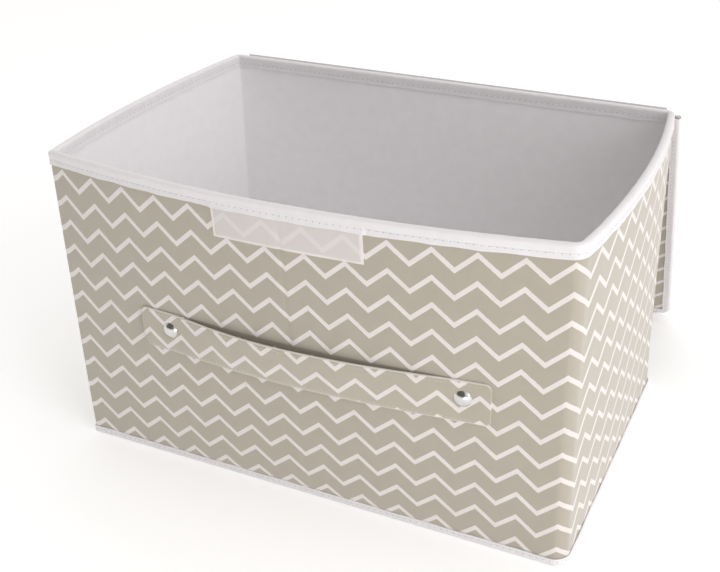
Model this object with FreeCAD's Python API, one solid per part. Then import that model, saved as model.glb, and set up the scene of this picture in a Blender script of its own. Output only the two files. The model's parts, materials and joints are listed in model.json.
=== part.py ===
import FreeCAD, Part
import math
import os
from FreeCAD import Vector

# Folding storage box of printed non-woven fabric over cardboard, with a hinged lid.
# Millimetres. X runs along the front from left to right, -Y faces the front, +Z is up.
# The origin is the centre of the underside. The lid is open and leans on the floor behind.

os.makedirs("parts", exist_ok=True)

# Overall size of the box, measured over the white binding tape.
WIDTH = 386.0
DEPTH = 250.0
HEIGHT = 240.0
FRONT_BOW = 10.0            # how far the middle of the front rim stands out, lid closed
SIDE_BOW = 6.0
BACK_BOW = 0.0              # the lid hangs from the back rim and keeps it straight

# Sheet goods.
FABRIC = 0.6
BOARD = 2.0
TAPE = 0.6
AIR = 0.2                   # air between neighbouring layers

# Binding tape.
RIM_DROP = 10.0             # how far the tape reaches down from the rim
BASE_RISE = 6.0             # how far the tape reaches up from the floor
BASE_FLANGE = 9.6           # width of the tape under the box

# Board edges stay short of the soft corners and of the crease down the middle.
CORNER_SOFT_X = 7.0
CORNER_SOFT_Y = 7.0
CREASE = 2.0
BOARD_LIFT = 1.0
BOARD_TOP_GAP = 2.0

# Handle strap on the front.
STRAP_LENGTH = 262.0
STRAP_HEIGHT = 32.5
STRAP_THICKNESS = 2.4
STRAP_CENTRE_X = 8.5        # the strap is fixed a little to the right of the middle
STRAP_CENTRE_Z = 120.0
STRAP_END = 37.2            # length of each doubled end that lies on the wall
STRAP_STANDOFF = 16.0       # slack of the middle of the strap, away from the wall
STRAP_JOIN_GAP = 0.3
RIVET_SPACING = 219.5
RIVET_CENTRE_X = 11.5
RIVET_Z = 122.5
RIVET_CAP_RADIUS = 6.0
RIVET_CAP_RISE = 2.4
RIVET_POST_RADIUS = 1.5
RIVET_HOLE_RADIUS = 1.8
RIVET_BACK_RADIUS = 5.0
RIVET_BACK_THICKNESS = 0.8
RIVET_SEAT = 0.45           # lifts the caps clear of the slightly sloping fabric

# Hook tape on the front, and the loop tape that meets it.
HOOK_LENGTH = 107.0
HOOK_CENTRE_X = 4.0         # the hook and loop tapes sit a little to the right
HOOK_HEIGHT = 21.2
HOOK_THICKNESS = 1.0
LOOP_LENGTH = 107.0
LOOP_HEIGHT = 22.0
LOOP_THICKNESS = 1.0

# Lid. Its own coordinates are x, then n outwards from its inner face, then s from the hinge.
HINGE_Y = 127.5
HINGE_Z = 240.3
LID_WIDTH = 383.0
LID_LENGTH = 267.0
LID_START = 6.5
LID_BOARD_INSET = 7.5       # keeps the board clear of the tape's stitches
LID_TAPE_WIDTH = 7.0
FLOOR_GAP = 0.3
HINGE_STRIP_START = 0.3
HINGE_STRIP_HALF_WIDTH = 186.0

# Front flap of the lid. Its coordinates are x, then m outwards, then t from its fold.
FLAP_WIDTH = 352.0
FLAP_LENGTH = 45.0
FLAP_START = 1.4
FLAP_FOLD_S = 0.6           # the fold lies this far past the lid's edge
FLAP_FOLD_N = 0.4
FLAP_TAPE_WIDTH = 7.0
LOOP_START = 12.0

# Loose base insert.
INSERT_WIDTH = 373.0
INSERT_DEPTH = 236.6
INSERT_Z = 0.9
INSERT_BOARD_INSET = 1.5

HALF_X = WIDTH / 2
HALF_Y = DEPTH / 2

# Distances from the outermost face of the binding, through the wall.
COVER_IN = TAPE + AIR
BOARD_IN = COVER_IN + FABRIC + AIR
LINING_IN = BOARD_IN + BOARD + AIR
INNER_TAPE_IN = LINING_IN + FABRIC + AIR
WALL_STACK = INNER_TAPE_IN + TAPE

WALLS = {
    "front": {"turn": 0, "out": HALF_Y, "half": HALF_X, "bow": FRONT_BOW},
    "right": {"turn": 90, "out": HALF_X, "half": HALF_Y, "bow": SIDE_BOW},
    "back": {"turn": 180, "out": HALF_Y, "half": HALF_X, "bow": BACK_BOW},
    "left": {"turn": 270, "out": HALF_X, "half": HALF_Y, "bow": SIDE_BOW},
}


def write(node, shapes):
    """Writes one sub-part, which may be a group of separate solids, as a STEP file."""
    solids = shapes if isinstance(shapes, list) else [shapes]
    for solid in solids:
        if not solid.isValid() or solid.Volume <= 0:
            raise ValueError(node + " is not a sound solid")
    shape = solids[0] if len(solids) == 1 else Part.makeCompound(solids)
    shape.exportStep("parts/" + node + ".step")


def bow_at(wall, along, z):
    """How far a wall stands out at a place: an arc that grows from nothing at the floor."""
    rise = wall["bow"] * z / HEIGHT
    if rise < 0.001:
        return 0.0
    radius = (wall["half"] ** 2 + rise ** 2) / (2 * rise)
    return math.sqrt(radius ** 2 - along ** 2) - (radius - rise)


def wall_edge(wall, out, z, start, end):
    """The level line of a wall layer's outer face, as an arc or a straight edge."""
    points = []
    for along in (start, (start + end) / 2, end):
        points.append(Vector(along, -(out + bow_at(wall, along, z)), z))
    if wall["bow"] * z / HEIGHT < 0.001:
        return Part.makeLine(points[0], points[2])
    return Part.Arc(*points).toShape()


def wall_layer(wall, inset, thickness, z_low, z_high, start, end):
    """A layer of a wall: a ruled sheet from a low edge to a high one, thickened inwards."""
    out = wall["out"] - inset
    low = wall_edge(wall, out, z_low, start, end)
    high = wall_edge(wall, out, z_high, start, end)
    face = Part.makeRuledSurface(low, high)
    layer = face.extrude(Vector(0, thickness, 0))
    if layer.ShapeType != "Solid":
        layer = Part.Solid(layer.Shells[0])
    if layer.Volume < 0:
        layer.reverse()
    layer.rotate(Vector(0, 0, 0), Vector(0, 0, 1), wall["turn"])
    return layer


def slab(x_half, y_half, z_low, z_high):
    """A flat rectangle centred on the Z axis."""
    corner = Vector(-x_half, -y_half, z_low)
    return Part.makeBox(2 * x_half, 2 * y_half, z_high - z_low, corner)


def rivet_holes():
    """Cylinders that clear the two rivet posts through the whole front wall."""
    holes = []
    for side in (-1, 1):
        x = RIVET_CENTRE_X + side * RIVET_SPACING / 2
        place = Vector(x, -HALF_Y - 20, RIVET_Z)
        holes.append(Part.makeCylinder(RIVET_HOLE_RADIUS, 40, place, Vector(0, 1, 0)))
    return holes


def punched(layer):
    """A layer of the front wall with its rivet holes, if the posts pass through it."""
    for hole in rivet_holes():
        if layer.common(hole).Volume > 0:
            layer = layer.cut(hole)
    return layer.Solids[0]


def across(wall_name, inset):
    """Half the length of a layer between the two walls beside it, at a distance inwards."""
    return WALLS[wall_name]["half"] - inset


def build_covers():
    """Printed outer fabric. The front and back cover the ends of the sides."""
    low = FABRIC + AIR
    high = HEIGHT - TAPE - AIR
    for name, wall in WALLS.items():
        long_wall = name in ("front", "back")
        reach = across(name, COVER_IN if long_wall else COVER_IN + FABRIC + AIR)
        layer = wall_layer(wall, COVER_IN, FABRIC, low, high, -reach, reach)
        write("outer_cover_" + name, punched(layer) if name == "front" else layer)


def build_linings():
    """White inner fabric of the four walls."""
    low = FABRIC + AIR
    high = HEIGHT - TAPE - AIR
    for name, wall in WALLS.items():
        long_wall = name in ("front", "back")
        inset = LINING_IN + AIR if long_wall else LINING_IN + FABRIC + AIR
        reach = across(name, inset)
        layer = wall_layer(wall, LINING_IN, FABRIC, low, high, -reach, reach)
        write("lining_" + name, punched(layer) if name == "front" else layer)


def build_boards():
    """Cardboard stiffeners. The long walls have a half board each side of the crease."""
    low = FABRIC + AIR + BOARD_LIFT
    high = HEIGHT - TAPE - AIR - BOARD_TOP_GAP
    for name in ("front", "back"):
        reach = across(name, CORNER_SOFT_X)
        spans = [(-reach, -CREASE / 2), (CREASE / 2, reach)]
        halves = ("left", "right") if name == "front" else ("right", "left")
        for half, (start, end) in zip(halves, spans):
            layer = wall_layer(WALLS[name], BOARD_IN, BOARD, low, high, start, end)
            layer = punched(layer) if name == "front" else layer
            write(name + "_board_" + half, layer)
    for name in ("left", "right"):
        reach = across(name, CORNER_SOFT_Y)
        layer = wall_layer(WALLS[name], BOARD_IN, BOARD, low, high, -reach, reach)
        write(name + "_board", layer)


def build_rim_binding():
    """Tape folded over the top edge: an outer leg, an inner leg and the fold between."""
    cap_low = HEIGHT - TAPE
    leg_low = HEIGHT - RIM_DROP
    for name, wall in WALLS.items():
        if name in ("front", "back"):
            outer = across(name, 0)
            cap = outer
            inner = across(name, WALL_STACK + AIR)
        else:
            outer = across(name, TAPE + AIR)
            cap = across(name, WALL_STACK + AIR)
            inner = cap
        fold = wall_layer(wall, 0, WALL_STACK, cap_low, HEIGHT, -cap, cap)
        leg = wall_layer(wall, 0, TAPE, leg_low, cap_low, -outer, outer)
        back_leg = wall_layer(
            wall, INNER_TAPE_IN, TAPE, leg_low, cap_low, -inner, inner
        )
        tape = fold.fuse([leg, back_leg])
        write("rim_binding_" + name, tape.Solids[0])


def build_base():
    """Bottom fabric, and the tape that binds its seam to the walls."""
    for name, wall in WALLS.items():
        outer = across(name, 0 if name in ("front", "back") else BASE_FLANGE + AIR)
        out = wall["out"]
        flange = Part.makeBox(2 * outer, BASE_FLANGE, TAPE, Vector(-outer, -out, 0))
        flange.rotate(Vector(0, 0, 0), Vector(0, 0, 1), wall["turn"])
        leg_reach = across(name, 0 if name in ("front", "back") else TAPE + AIR)
        leg_reach = min(leg_reach, outer)
        leg = Part.makeBox(
            2 * leg_reach, TAPE, BASE_RISE - TAPE, Vector(-leg_reach, -out, TAPE)
        )
        leg.rotate(Vector(0, 0, 0), Vector(0, 0, 1), wall["turn"])
        write("base_binding_" + name, flange.fuse(leg).removeSplitter().Solids[0])
    inset = BASE_FLANGE + AIR
    write("bottom_fabric", slab(HALF_X - inset, HALF_Y - inset, 0, FABRIC))


def build_insert():
    """Loose base board in its sewn fabric slip, made of a top sheet and a bottom sheet."""
    half_x = INSERT_WIDTH / 2
    half_y = INSERT_DEPTH / 2
    board_low = INSERT_Z + FABRIC + AIR
    board_high = board_low + BOARD
    seam = (board_low + board_high) / 2
    top = board_high + AIR + FABRIC
    board = slab(
        half_x - INSERT_BOARD_INSET, half_y - INSERT_BOARD_INSET, board_low, board_high
    )
    write("insert_board", board)
    below = slab(half_x, half_y, INSERT_Z, seam - AIR / 2)
    below = below.cut(slab(half_x - FABRIC, half_y - FABRIC, INSERT_Z + FABRIC, seam))
    write("insert_slip_bottom", below.Solids[0])
    above = slab(half_x, half_y, seam + AIR / 2, top)
    above = above.cut(slab(half_x - FABRIC, half_y - FABRIC, seam, top - FABRIC))
    write("insert_slip_top", above.Solids[0])


def build_hook_tape():
    """Hook tape sewn on the front, its top edge against the rim binding."""
    wall = WALLS["front"]
    high = HEIGHT - RIM_DROP - AIR
    inset = COVER_IN - AIR - HOOK_THICKNESS
    start = HOOK_CENTRE_X - HOOK_LENGTH / 2
    end = HOOK_CENTRE_X + HOOK_LENGTH / 2
    low = high - HOOK_HEIGHT
    tape = wall_layer(wall, inset, HOOK_THICKNESS, low, high, start, end)
    write("hook_tape", tape)


def build_handle():
    """Strap with two doubled ends riveted to the wall and a slack middle to grip."""
    wall = WALLS["front"]
    low = STRAP_CENTRE_Z - STRAP_HEIGHT / 2
    high = STRAP_CENTRE_Z + STRAP_HEIGHT / 2
    inset = COVER_IN - AIR - STRAP_THICKNESS
    centre = STRAP_CENTRE_X
    outer = STRAP_LENGTH / 2
    inner = outer - STRAP_END
    ends = {
        "left": (centre - outer, centre - inner),
        "right": (centre + inner, centre + outer),
    }
    for name, (start, end) in ends.items():
        layer = wall_layer(wall, inset, STRAP_THICKNESS, low, high, start, end)
        write("handle_end_" + name, punched(layer))

    reach = inner - STRAP_JOIN_GAP
    wall_face = wall["out"] - COVER_IN
    root = wall_face + bow_at(wall, centre - reach, high) + AIR + STRAP_JOIN_GAP
    crown = wall_face + bow_at(wall, centre, STRAP_CENTRE_Z) + STRAP_STANDOFF
    near = Part.Arc(
        Vector(centre - reach, -root, low),
        Vector(centre, -crown, low),
        Vector(centre + reach, -root, low),
    ).toShape()
    far = near.copy()
    far.translate(Vector(0, -STRAP_THICKNESS, 0))
    closing = [
        Part.makeLine(near.Vertexes[-1].Point, far.Vertexes[-1].Point),
        Part.makeLine(far.Vertexes[0].Point, near.Vertexes[0].Point),
    ]
    outline = Part.Wire(Part.__sortEdges__([near, far] + closing))
    write("handle_grip", Part.Face(outline).extrude(Vector(0, 0, STRAP_HEIGHT)))


def build_rivets():
    """Domed rivets through the strap ends and the wall, with flat backs on the lining."""
    wall = WALLS["front"]
    rivets = []
    backs = []
    for side in (-1, 1):
        x = RIVET_CENTRE_X + side * RIVET_SPACING / 2
        bow = bow_at(wall, x, RIVET_Z)
        seat = wall["out"] - COVER_IN + AIR + STRAP_THICKNESS + bow + RIVET_SEAT
        back = wall["out"] - LINING_IN - FABRIC + bow - RIVET_SEAT
        ball = (RIVET_CAP_RADIUS ** 2 + RIVET_CAP_RISE ** 2) / (2 * RIVET_CAP_RISE)
        centre = Vector(x, -(seat + RIVET_CAP_RISE - ball), RIVET_Z)
        dome = Part.makeSphere(ball, centre)
        keep = Part.makeCylinder(
            RIVET_CAP_RADIUS + 1,
            RIVET_CAP_RISE + 1,
            Vector(x, -seat, RIVET_Z),
            Vector(0, -1, 0),
        )
        cap = dome.common(keep)
        post = Part.makeCylinder(
            RIVET_POST_RADIUS,
            seat - back,
            Vector(x, -seat, RIVET_Z),
            Vector(0, 1, 0),
        )
        rivets.append(cap.fuse(post).removeSplitter().Solids[0])
        backs.append(
            Part.makeCylinder(
                RIVET_BACK_RADIUS,
                RIVET_BACK_THICKNESS,
                Vector(x, -back, RIVET_Z),
                Vector(0, 1, 0),
            )
        )
    write("rivets", rivets)
    write("rivet_backs", backs)


def lean_angle():
    """Degrees that the open lid leans from upright, so that its free edge meets the floor."""
    outermost = WALL_STACK
    reach = math.hypot(LID_LENGTH, outermost)
    tilt = math.atan2(outermost, LID_LENGTH)
    return math.degrees(tilt + math.acos((HINGE_Z - FLOOR_GAP) / reach))


LEAN = lean_angle()


def place_lid(shape):
    """Moves a shape from the lid's own coordinates to where the open lid is."""
    shape.rotate(Vector(0, 0, 0), Vector(1, 0, 0), 180 + LEAN)
    shape.translate(Vector(0, HINGE_Y, HINGE_Z))
    return shape


def lid_point(n, s):
    """A point of the open lid, as its Y and Z."""
    lean = math.radians(LEAN)
    y = HINGE_Y + s * math.sin(lean) - n * math.cos(lean)
    z = HINGE_Z - s * math.cos(lean) - n * math.sin(lean)
    return y, z


def lid_box(half_width, n_low, n_high, s_low, s_high, x_low=None):
    """A box in the lid's own coordinates."""
    start = -half_width if x_low is None else x_low
    corner = Vector(start, n_low, s_low)
    return Part.makeBox(half_width - start, n_high - n_low, s_high - s_low, corner)


def edge_tape(half_width, n_low, n_high, s_low, s_high, width, side):
    """Tape folded round one long edge of a panel; side -1 and 1 are left and right."""
    outside = lid_box(half_width, n_low, n_high, s_low, s_high, half_width - width)
    pocket = lid_box(
        half_width - TAPE,
        n_low + TAPE,
        n_high - TAPE,
        s_low - 1,
        s_high + 1,
        half_width - width - 1,
    )
    tape = outside.cut(pocket)
    if side < 0:
        tape = tape.mirror(Vector(0, 0, 0), Vector(1, 0, 0))
    return tape.Solids[0]


def end_tape(half_width, n_low, n_high, s_end, width):
    """Tape folded round the free end of a panel."""
    outside = lid_box(half_width, n_low, n_high, s_end - width, s_end)
    pocket = lid_box(
        half_width + 1, n_low + TAPE, n_high - TAPE, s_end - width - 1, s_end - TAPE
    )
    return outside.cut(pocket).Solids[0]


def build_lid():
    """Lid panel: lining, board and printed fabric, with tape round three edges."""
    half = LID_WIDTH / 2
    sheet_half = half - TAPE - AIR
    sheet_end = LID_LENGTH - TAPE - AIR
    lining_n = TAPE + AIR
    board_n = lining_n + FABRIC + AIR
    outer_n = board_n + BOARD + AIR
    lining = lid_box(sheet_half, lining_n, lining_n + FABRIC, LID_START, sheet_end)
    board = lid_box(
        sheet_half - LID_BOARD_INSET,
        board_n,
        board_n + BOARD,
        LID_START + LID_BOARD_INSET,
        sheet_end - LID_BOARD_INSET,
    )
    outer = lid_box(sheet_half, outer_n, outer_n + FABRIC, LID_START, sheet_end)
    write("lid_lining", place_lid(lining))
    write("lid_board", place_lid(board))
    write("lid_outer_fabric", place_lid(outer))
    side_end = LID_LENGTH - LID_TAPE_WIDTH - AIR
    for name, side in (("left", -1), ("right", 1)):
        tape = edge_tape(half, 0, WALL_STACK, LID_START, side_end, LID_TAPE_WIDTH, side)
        write("lid_binding_" + name, place_lid(tape))
    tape = end_tape(half, 0, WALL_STACK, LID_LENGTH, LID_TAPE_WIDTH)
    write("lid_binding_front", place_lid(tape))
    strip_n = lining_n + FABRIC
    strip = lid_box(
        HINGE_STRIP_HALF_WIDTH,
        strip_n,
        strip_n + TAPE,
        HINGE_STRIP_START,
        LID_START - AIR,
    )
    write("lid_hinge_strip", place_lid(strip))


def place_flap(shape):
    """Moves a shape from the flap's own coordinates to where the flap lies on the floor."""
    fold_y, fold_z = lid_point(FLAP_FOLD_N, LID_LENGTH + FLAP_FOLD_S)
    shape.rotate(Vector(0, 0, 0), Vector(1, 0, 0), 270)
    shape.translate(Vector(0, fold_y, fold_z))
    return shape


def build_flap():
    """Soft flap on the lid's free edge: two fabric sheets, edge tape and loop tape."""
    half = FLAP_WIDTH / 2
    sheet_half = half - TAPE - AIR
    sheet_end = FLAP_LENGTH - TAPE - AIR
    lining_low = -FABRIC
    outer_low = AIR
    tape_low = lining_low - AIR - TAPE
    tape_high = outer_low + FABRIC + AIR + TAPE
    lining = lid_box(sheet_half, lining_low, 0, FLAP_START, sheet_end)
    outer = lid_box(sheet_half, outer_low, outer_low + FABRIC, FLAP_START, sheet_end)
    write("flap_lining", place_flap(lining))
    write("flap_outer_fabric", place_flap(outer))
    side_end = FLAP_LENGTH - FLAP_TAPE_WIDTH - AIR
    tapes = {"end": end_tape(half, tape_low, tape_high, FLAP_LENGTH, FLAP_TAPE_WIDTH)}
    for name, side in (("left", -1), ("right", 1)):
        tapes[name] = edge_tape(
            half, tape_low, tape_high, FLAP_START, side_end, FLAP_TAPE_WIDTH, side
        )
    for name, tape in tapes.items():
        write("flap_binding_" + name, place_flap(tape))
    loop_high = lining_low - AIR
    loop = lid_box(
        HOOK_CENTRE_X + LOOP_LENGTH / 2,
        loop_high - LOOP_THICKNESS,
        loop_high,
        LOOP_START,
        LOOP_START + LOOP_HEIGHT,
        HOOK_CENTRE_X - LOOP_LENGTH / 2,
    )
    write("loop_tape", place_flap(loop))


build_covers()
build_linings()
build_boards()
build_rim_binding()
build_base()
build_insert()
build_hook_tape()
build_handle()
build_rivets()
build_lid()
build_flap()

FOLD_Y, FOLD_Z = lid_point(FLAP_FOLD_N, LID_LENGTH + FLAP_FOLD_S)
print("lid hinge axis at y %.3f z %.3f" % (HINGE_Y, HINGE_Z))
print("lid travel to closed %.3f degrees" % (270 - LEAN))
print("flap fold axis at y %.3f z %.3f" % (FOLD_Y, FOLD_Z))
print("flap travel %.3f to %.3f degrees" % (LEAN - 90, LEAN))
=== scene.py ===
"""Looks of the fabric storage bin: printed non-woven walls, tapes, strap, rivets, insert and lid."""
import json
import math

import bmesh
import bpy
from mathutils import Matrix, Vector


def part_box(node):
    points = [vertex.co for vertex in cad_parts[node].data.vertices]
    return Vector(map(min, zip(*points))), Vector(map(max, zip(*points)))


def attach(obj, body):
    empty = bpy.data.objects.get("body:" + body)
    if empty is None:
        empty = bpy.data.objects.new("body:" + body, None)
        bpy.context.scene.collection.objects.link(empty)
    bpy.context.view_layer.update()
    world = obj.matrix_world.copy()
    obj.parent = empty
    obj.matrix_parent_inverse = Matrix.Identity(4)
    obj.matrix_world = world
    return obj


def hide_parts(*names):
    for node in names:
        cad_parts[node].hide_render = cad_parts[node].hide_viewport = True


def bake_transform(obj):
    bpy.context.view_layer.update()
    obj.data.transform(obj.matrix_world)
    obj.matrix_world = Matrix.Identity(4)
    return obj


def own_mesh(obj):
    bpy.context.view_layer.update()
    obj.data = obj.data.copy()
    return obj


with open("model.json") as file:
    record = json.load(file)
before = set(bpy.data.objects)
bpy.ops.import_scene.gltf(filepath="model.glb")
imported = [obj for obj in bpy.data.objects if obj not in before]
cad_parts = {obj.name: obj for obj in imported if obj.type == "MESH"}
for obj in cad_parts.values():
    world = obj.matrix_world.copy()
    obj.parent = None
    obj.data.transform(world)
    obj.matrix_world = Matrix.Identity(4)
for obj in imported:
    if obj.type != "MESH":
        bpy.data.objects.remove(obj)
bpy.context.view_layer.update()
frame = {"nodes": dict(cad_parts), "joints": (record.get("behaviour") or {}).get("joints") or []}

MM = 0.001

# Print: zigzag lines on a plain ground.
PRINT_PERIOD = 28.2 * MM
PRINT_PITCH = 19.27 * MM
PRINT_AMPLITUDE = 12.3 * MM
PRINT_LINE = 4.2 * MM
PRINT_PEAK_U = 16.3 * MM
PRINT_PEAK_V = 14.4 * MM

# Sheet thicknesses, and how deep each layer lies behind the outermost face of the tape.
FABRIC = 0.6 * MM
TAPE = 0.6 * MM
BOARD = 2.0 * MM
COVER_IN = 0.8 * MM
BOARD_IN = 1.6 * MM
LINING_IN = 3.8 * MM
STACK = 5.2 * MM

# Sizes and places that the CAD model holds.
HALF_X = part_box("base_binding_front")[1].x
HALF_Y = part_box("base_binding_back")[1].y
RIM_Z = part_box("rim_binding_back")[1].z
RIM_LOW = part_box("rim_binding_back")[0].z
BASE_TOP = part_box("base_binding_back")[1].z
WALL_TOP = RIM_Z - 1.4 * MM
BASE_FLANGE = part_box("base_binding_back")[1].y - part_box("base_binding_back")[0].y
STRAP_LOW, STRAP_HIGH = (p.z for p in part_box("handle_grip"))
STRAP_X = sum(p.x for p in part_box("handle_grip")) / 2
STRAP_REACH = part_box("handle_end_right")[1].x - STRAP_X
STRAP_END_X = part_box("handle_end_right")[0].x - STRAP_X
RIVET_RADIUS = 6 * MM
RIVET_X = {-1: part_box("rivets")[0].x + RIVET_RADIUS, 1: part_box("rivets")[1].x - RIVET_RADIUS}
RIVET_Z = sum(p.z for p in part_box("rivets")) / 2
HOOK_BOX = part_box("hook_tape")
HOOK_X = (HOOK_BOX[0].x + HOOK_BOX[1].x) / 2
HOOK_HALF = (HOOK_BOX[1].x - HOOK_BOX[0].x) / 2
LID_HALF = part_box("lid_binding_front")[1].x
FLAP_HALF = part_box("flap_binding_end")[1].x
LOOP_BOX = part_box("loop_tape")
INSERT_BOX = (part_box("insert_slip_bottom")[0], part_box("insert_slip_top")[1])

JOINTS = {joint["name"]: joint for joint in frame["joints"]}
HINGE = Vector(JOINTS["lid_hinge"]["pos_m"])
FOLD = Vector(JOINTS["lid_flap_fold"]["pos_m"])
LEAN = math.radians(270 - JOINTS["lid_hinge"]["range_deg"][1])
LID_LENGTH = 267 * MM
LID_START = 6.5 * MM
FLAP_LENGTH = 45 * MM

# The lid's free edge is a little narrower than its hinge, and set a little to the left.
LID_TAPER = 4 * MM
LID_SKEW = 2.5 * MM

# Shape of the walls when the lid is open. Each wall bows outwards most at the rim.
BOW = {"front": 19 * MM, "right": 8.3 * MM, "back": 0.0, "left": 8 * MM}
BOW_POWER = 0.66

# The corner after each wall: its radius and how square its turn is.
CORNER_RADIUS = {"front": 10 * MM, "right": 8 * MM, "back": 6.5 * MM, "left": 5.4 * MM}
CORNER_PULL = {"front": 0.42, "right": 0.55, "back": 0.6, "left": 1.12}

# How far each end of a wall has moved at the rim, in x and y.
START_SHIFT = {
    "front": (-1.8 * MM, -4.0 * MM),
    "right": (-4.8 * MM, -0.8 * MM),
    "back": (-4.8 * MM, 0.0),
    "left": (0.0, 0.0),
}
END_SHIFT = {
    "front": (-3.0 * MM, -0.8 * MM),
    "right": (-4.8 * MM, 0.0),
    "back": (0.0, 0.0),
    "left": (-1.8 * MM, -4.0 * MM),
}
CORNER_TIGHTNESS = 2.3 * MM
CREASE_DEPTH = 0.5 * MM
CREASE_WIDTH = 1.8 * MM

STITCH_PITCH = 4.6 * MM
STITCH_LENGTH = 3.3 * MM
STITCH_RADIUS = 0.26 * MM


# ---------------------------------------------------------------- small tools


def smooth_step(low, high, value):
    t = min(1.0, max(0.0, (value - low) / (high - low)))
    return t * t * (3 - 2 * t)


def spread(low, high, count):
    """Evenly spaced values from low to high, both included."""
    return [low + (high - low) * i / (count - 1) for i in range(count)]


def edge_spread(half, margin, fine, coarse):
    """Places from -half to half, close together near both ends."""
    edge = spread(half - margin, half, fine)
    middle = spread(margin - half, half - margin, coarse)[1:-1]
    return [-value for value in reversed(edge)] + middle + edge


def make_mesh(name, points, faces, uvs, material, sharp=40):
    """A mesh object with one UV map, smooth except at edges sharper than the given angle."""
    mesh = bpy.data.meshes.new(name)
    mesh.from_pydata([tuple(p) for p in points], [], faces)
    layer = mesh.uv_layers.new(name="cloth")
    for polygon in mesh.polygons:
        polygon.use_smooth = True
        for loop in polygon.loop_indices:
            layer.data[loop].uv = uvs[mesh.loops[loop].vertex_index]
    mesh.set_sharp_from_angle(angle=math.radians(sharp))
    mesh.materials.append(material)
    piece = bpy.data.objects.new(name, mesh)
    bpy.context.scene.collection.objects.link(piece)
    return piece


def ring_faces(rows, count, start=0):
    """Faces between rings of count points each, with a cap at both ends."""
    faces = []
    for i in range(rows - 1):
        here = start + i * count
        for j in range(count):
            k = (j + 1) % count
            faces.append((here + j, here + k, here + k + count, here + j + count))
    faces.append(tuple(range(start + count - 1, start - 1, -1)))
    last = start + (rows - 1) * count
    faces.append(tuple(range(last, last + count)))
    return faces


def loft(name, points, uvs, count, material, sharp=40):
    """A closed piece through rings of count points each."""
    faces = ring_faces(len(points) // count, count)
    piece = make_mesh(name, points, faces, uvs, material, sharp)
    face_outwards(piece)
    return piece


def sweep(name, stations, profile, material):
    """Carries a closed profile of (inset, height, v) along stations that place it in space."""
    points = []
    uvs = []
    for station in stations:
        for inset, height, v in profile:
            points.append(station.at(inset, height))
            uvs.append((station.u, v))
    return loft(name, points, uvs, len(profile), material)


def sheet_on_grid(name, columns, rows, place, uv, material, sharp=40):
    """A sheet with a lower and an upper face on one grid; place takes (x, y, top)."""
    points = []
    uvs = []
    for top in (False, True):
        for y in rows:
            for x in columns:
                points.append(place(x, y, top))
                uvs.append(uv(x, y))
    piece = make_mesh(name, points, shell_faces(len(columns), len(rows)), uvs, material, sharp)
    face_outwards(piece)
    return piece


def same_uv(x, y):
    return x, y


def face_outwards(piece):
    """Turns every face of a closed mesh outwards."""
    work = bmesh.new()
    work.from_mesh(piece.data)
    bmesh.ops.recalc_face_normals(work, faces=work.faces)
    work.to_mesh(piece.data)
    work.free()


def round_corner(x, y, half_x, half_y, radius):
    """Moves the points in the corner of a rectangle so that its outline turns in an arc."""
    over_x = max(0.0, abs(x) - half_x + radius)
    over_y = max(0.0, abs(y) - half_y + radius)
    if over_x > 0 and over_y > 0:
        scale = max(over_x, over_y) / math.hypot(over_x, over_y)
        x = math.copysign(half_x - radius + over_x * scale, x)
        y = math.copysign(half_y - radius + over_y * scale, y)
    return x, y


def sheet_profile(inset, thickness, low, high, rows):
    """A sheet standing on edge: up its outer face and down its inner one."""
    outer = [(inset, z, z) for z in spread(low, high, rows)]
    inner = [(inset + thickness, z, z) for z in spread(high, low, rows)]
    return outer + inner


def finish_piece(piece, body, slot, *nodes):
    """Fixes a piece to its body and hides the CAD nodes that it stands for; the slot is not used."""
    if body:
        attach(piece, body)
    if nodes:
        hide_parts(*nodes)
    return piece


def flatten_with_lid(piece):
    """The open box's front bulges, and the closed lid would press it back; this only gives the piece its
    own copy of its mesh.
    """
    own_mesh(piece)


# ---------------------------------------------------------------- walls as places


WALLS = ["front", "right", "back", "left"]
TURN = {"front": 0, "right": 1, "back": 2, "left": 3}
OUT = {"front": HALF_Y, "right": HALF_X, "back": HALF_Y, "left": HALF_X}
HALF_RUN = {"front": HALF_X, "right": HALF_Y, "back": HALF_X, "left": HALF_Y}


def wall_before(wall):
    return WALLS[TURN[wall] - 1]


def wall_after(wall):
    return WALLS[(TURN[wall] + 1) % 4]


# Where each wall's straight part starts and ends, along the wall.
SPAN = {
    wall: (
        CORNER_RADIUS[wall_before(wall)] - HALF_RUN[wall],
        HALF_RUN[wall] - CORNER_RADIUS[wall],
    )
    for wall in WALLS
}


def to_world(wall, along, out, z):
    """A wall's own coordinates (along it, outwards) in the box's frame."""
    x, y = along, -out
    for _ in range(TURN[wall]):
        x, y = -y, x
    return Vector((x, y, z))


def bow_growth(z):
    """Share of the rim's bow that a wall has at a height; nothing at the base seam."""
    share = (z - BASE_TOP) / (RIM_Z - BASE_TOP)
    return max(0.0, share) ** BOW_POWER


def from_middle(wall, along):
    """-1 at the start of a wall's straight part, 0 in its middle and 1 at its end."""
    start, end = SPAN[wall]
    return (2 * along - start - end) / (end - start)


def end_shift(shifts, wall, z):
    """How far an end of a wall has moved at a height."""
    x, y = shifts[wall]
    return Vector((x, y, 0)) * bow_growth(z)


def wall_shift(wall, along, z):
    share = (from_middle(wall, along) + 1) / 2
    return end_shift(START_SHIFT, wall, z).lerp(end_shift(END_SHIFT, wall, z), share)


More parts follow.
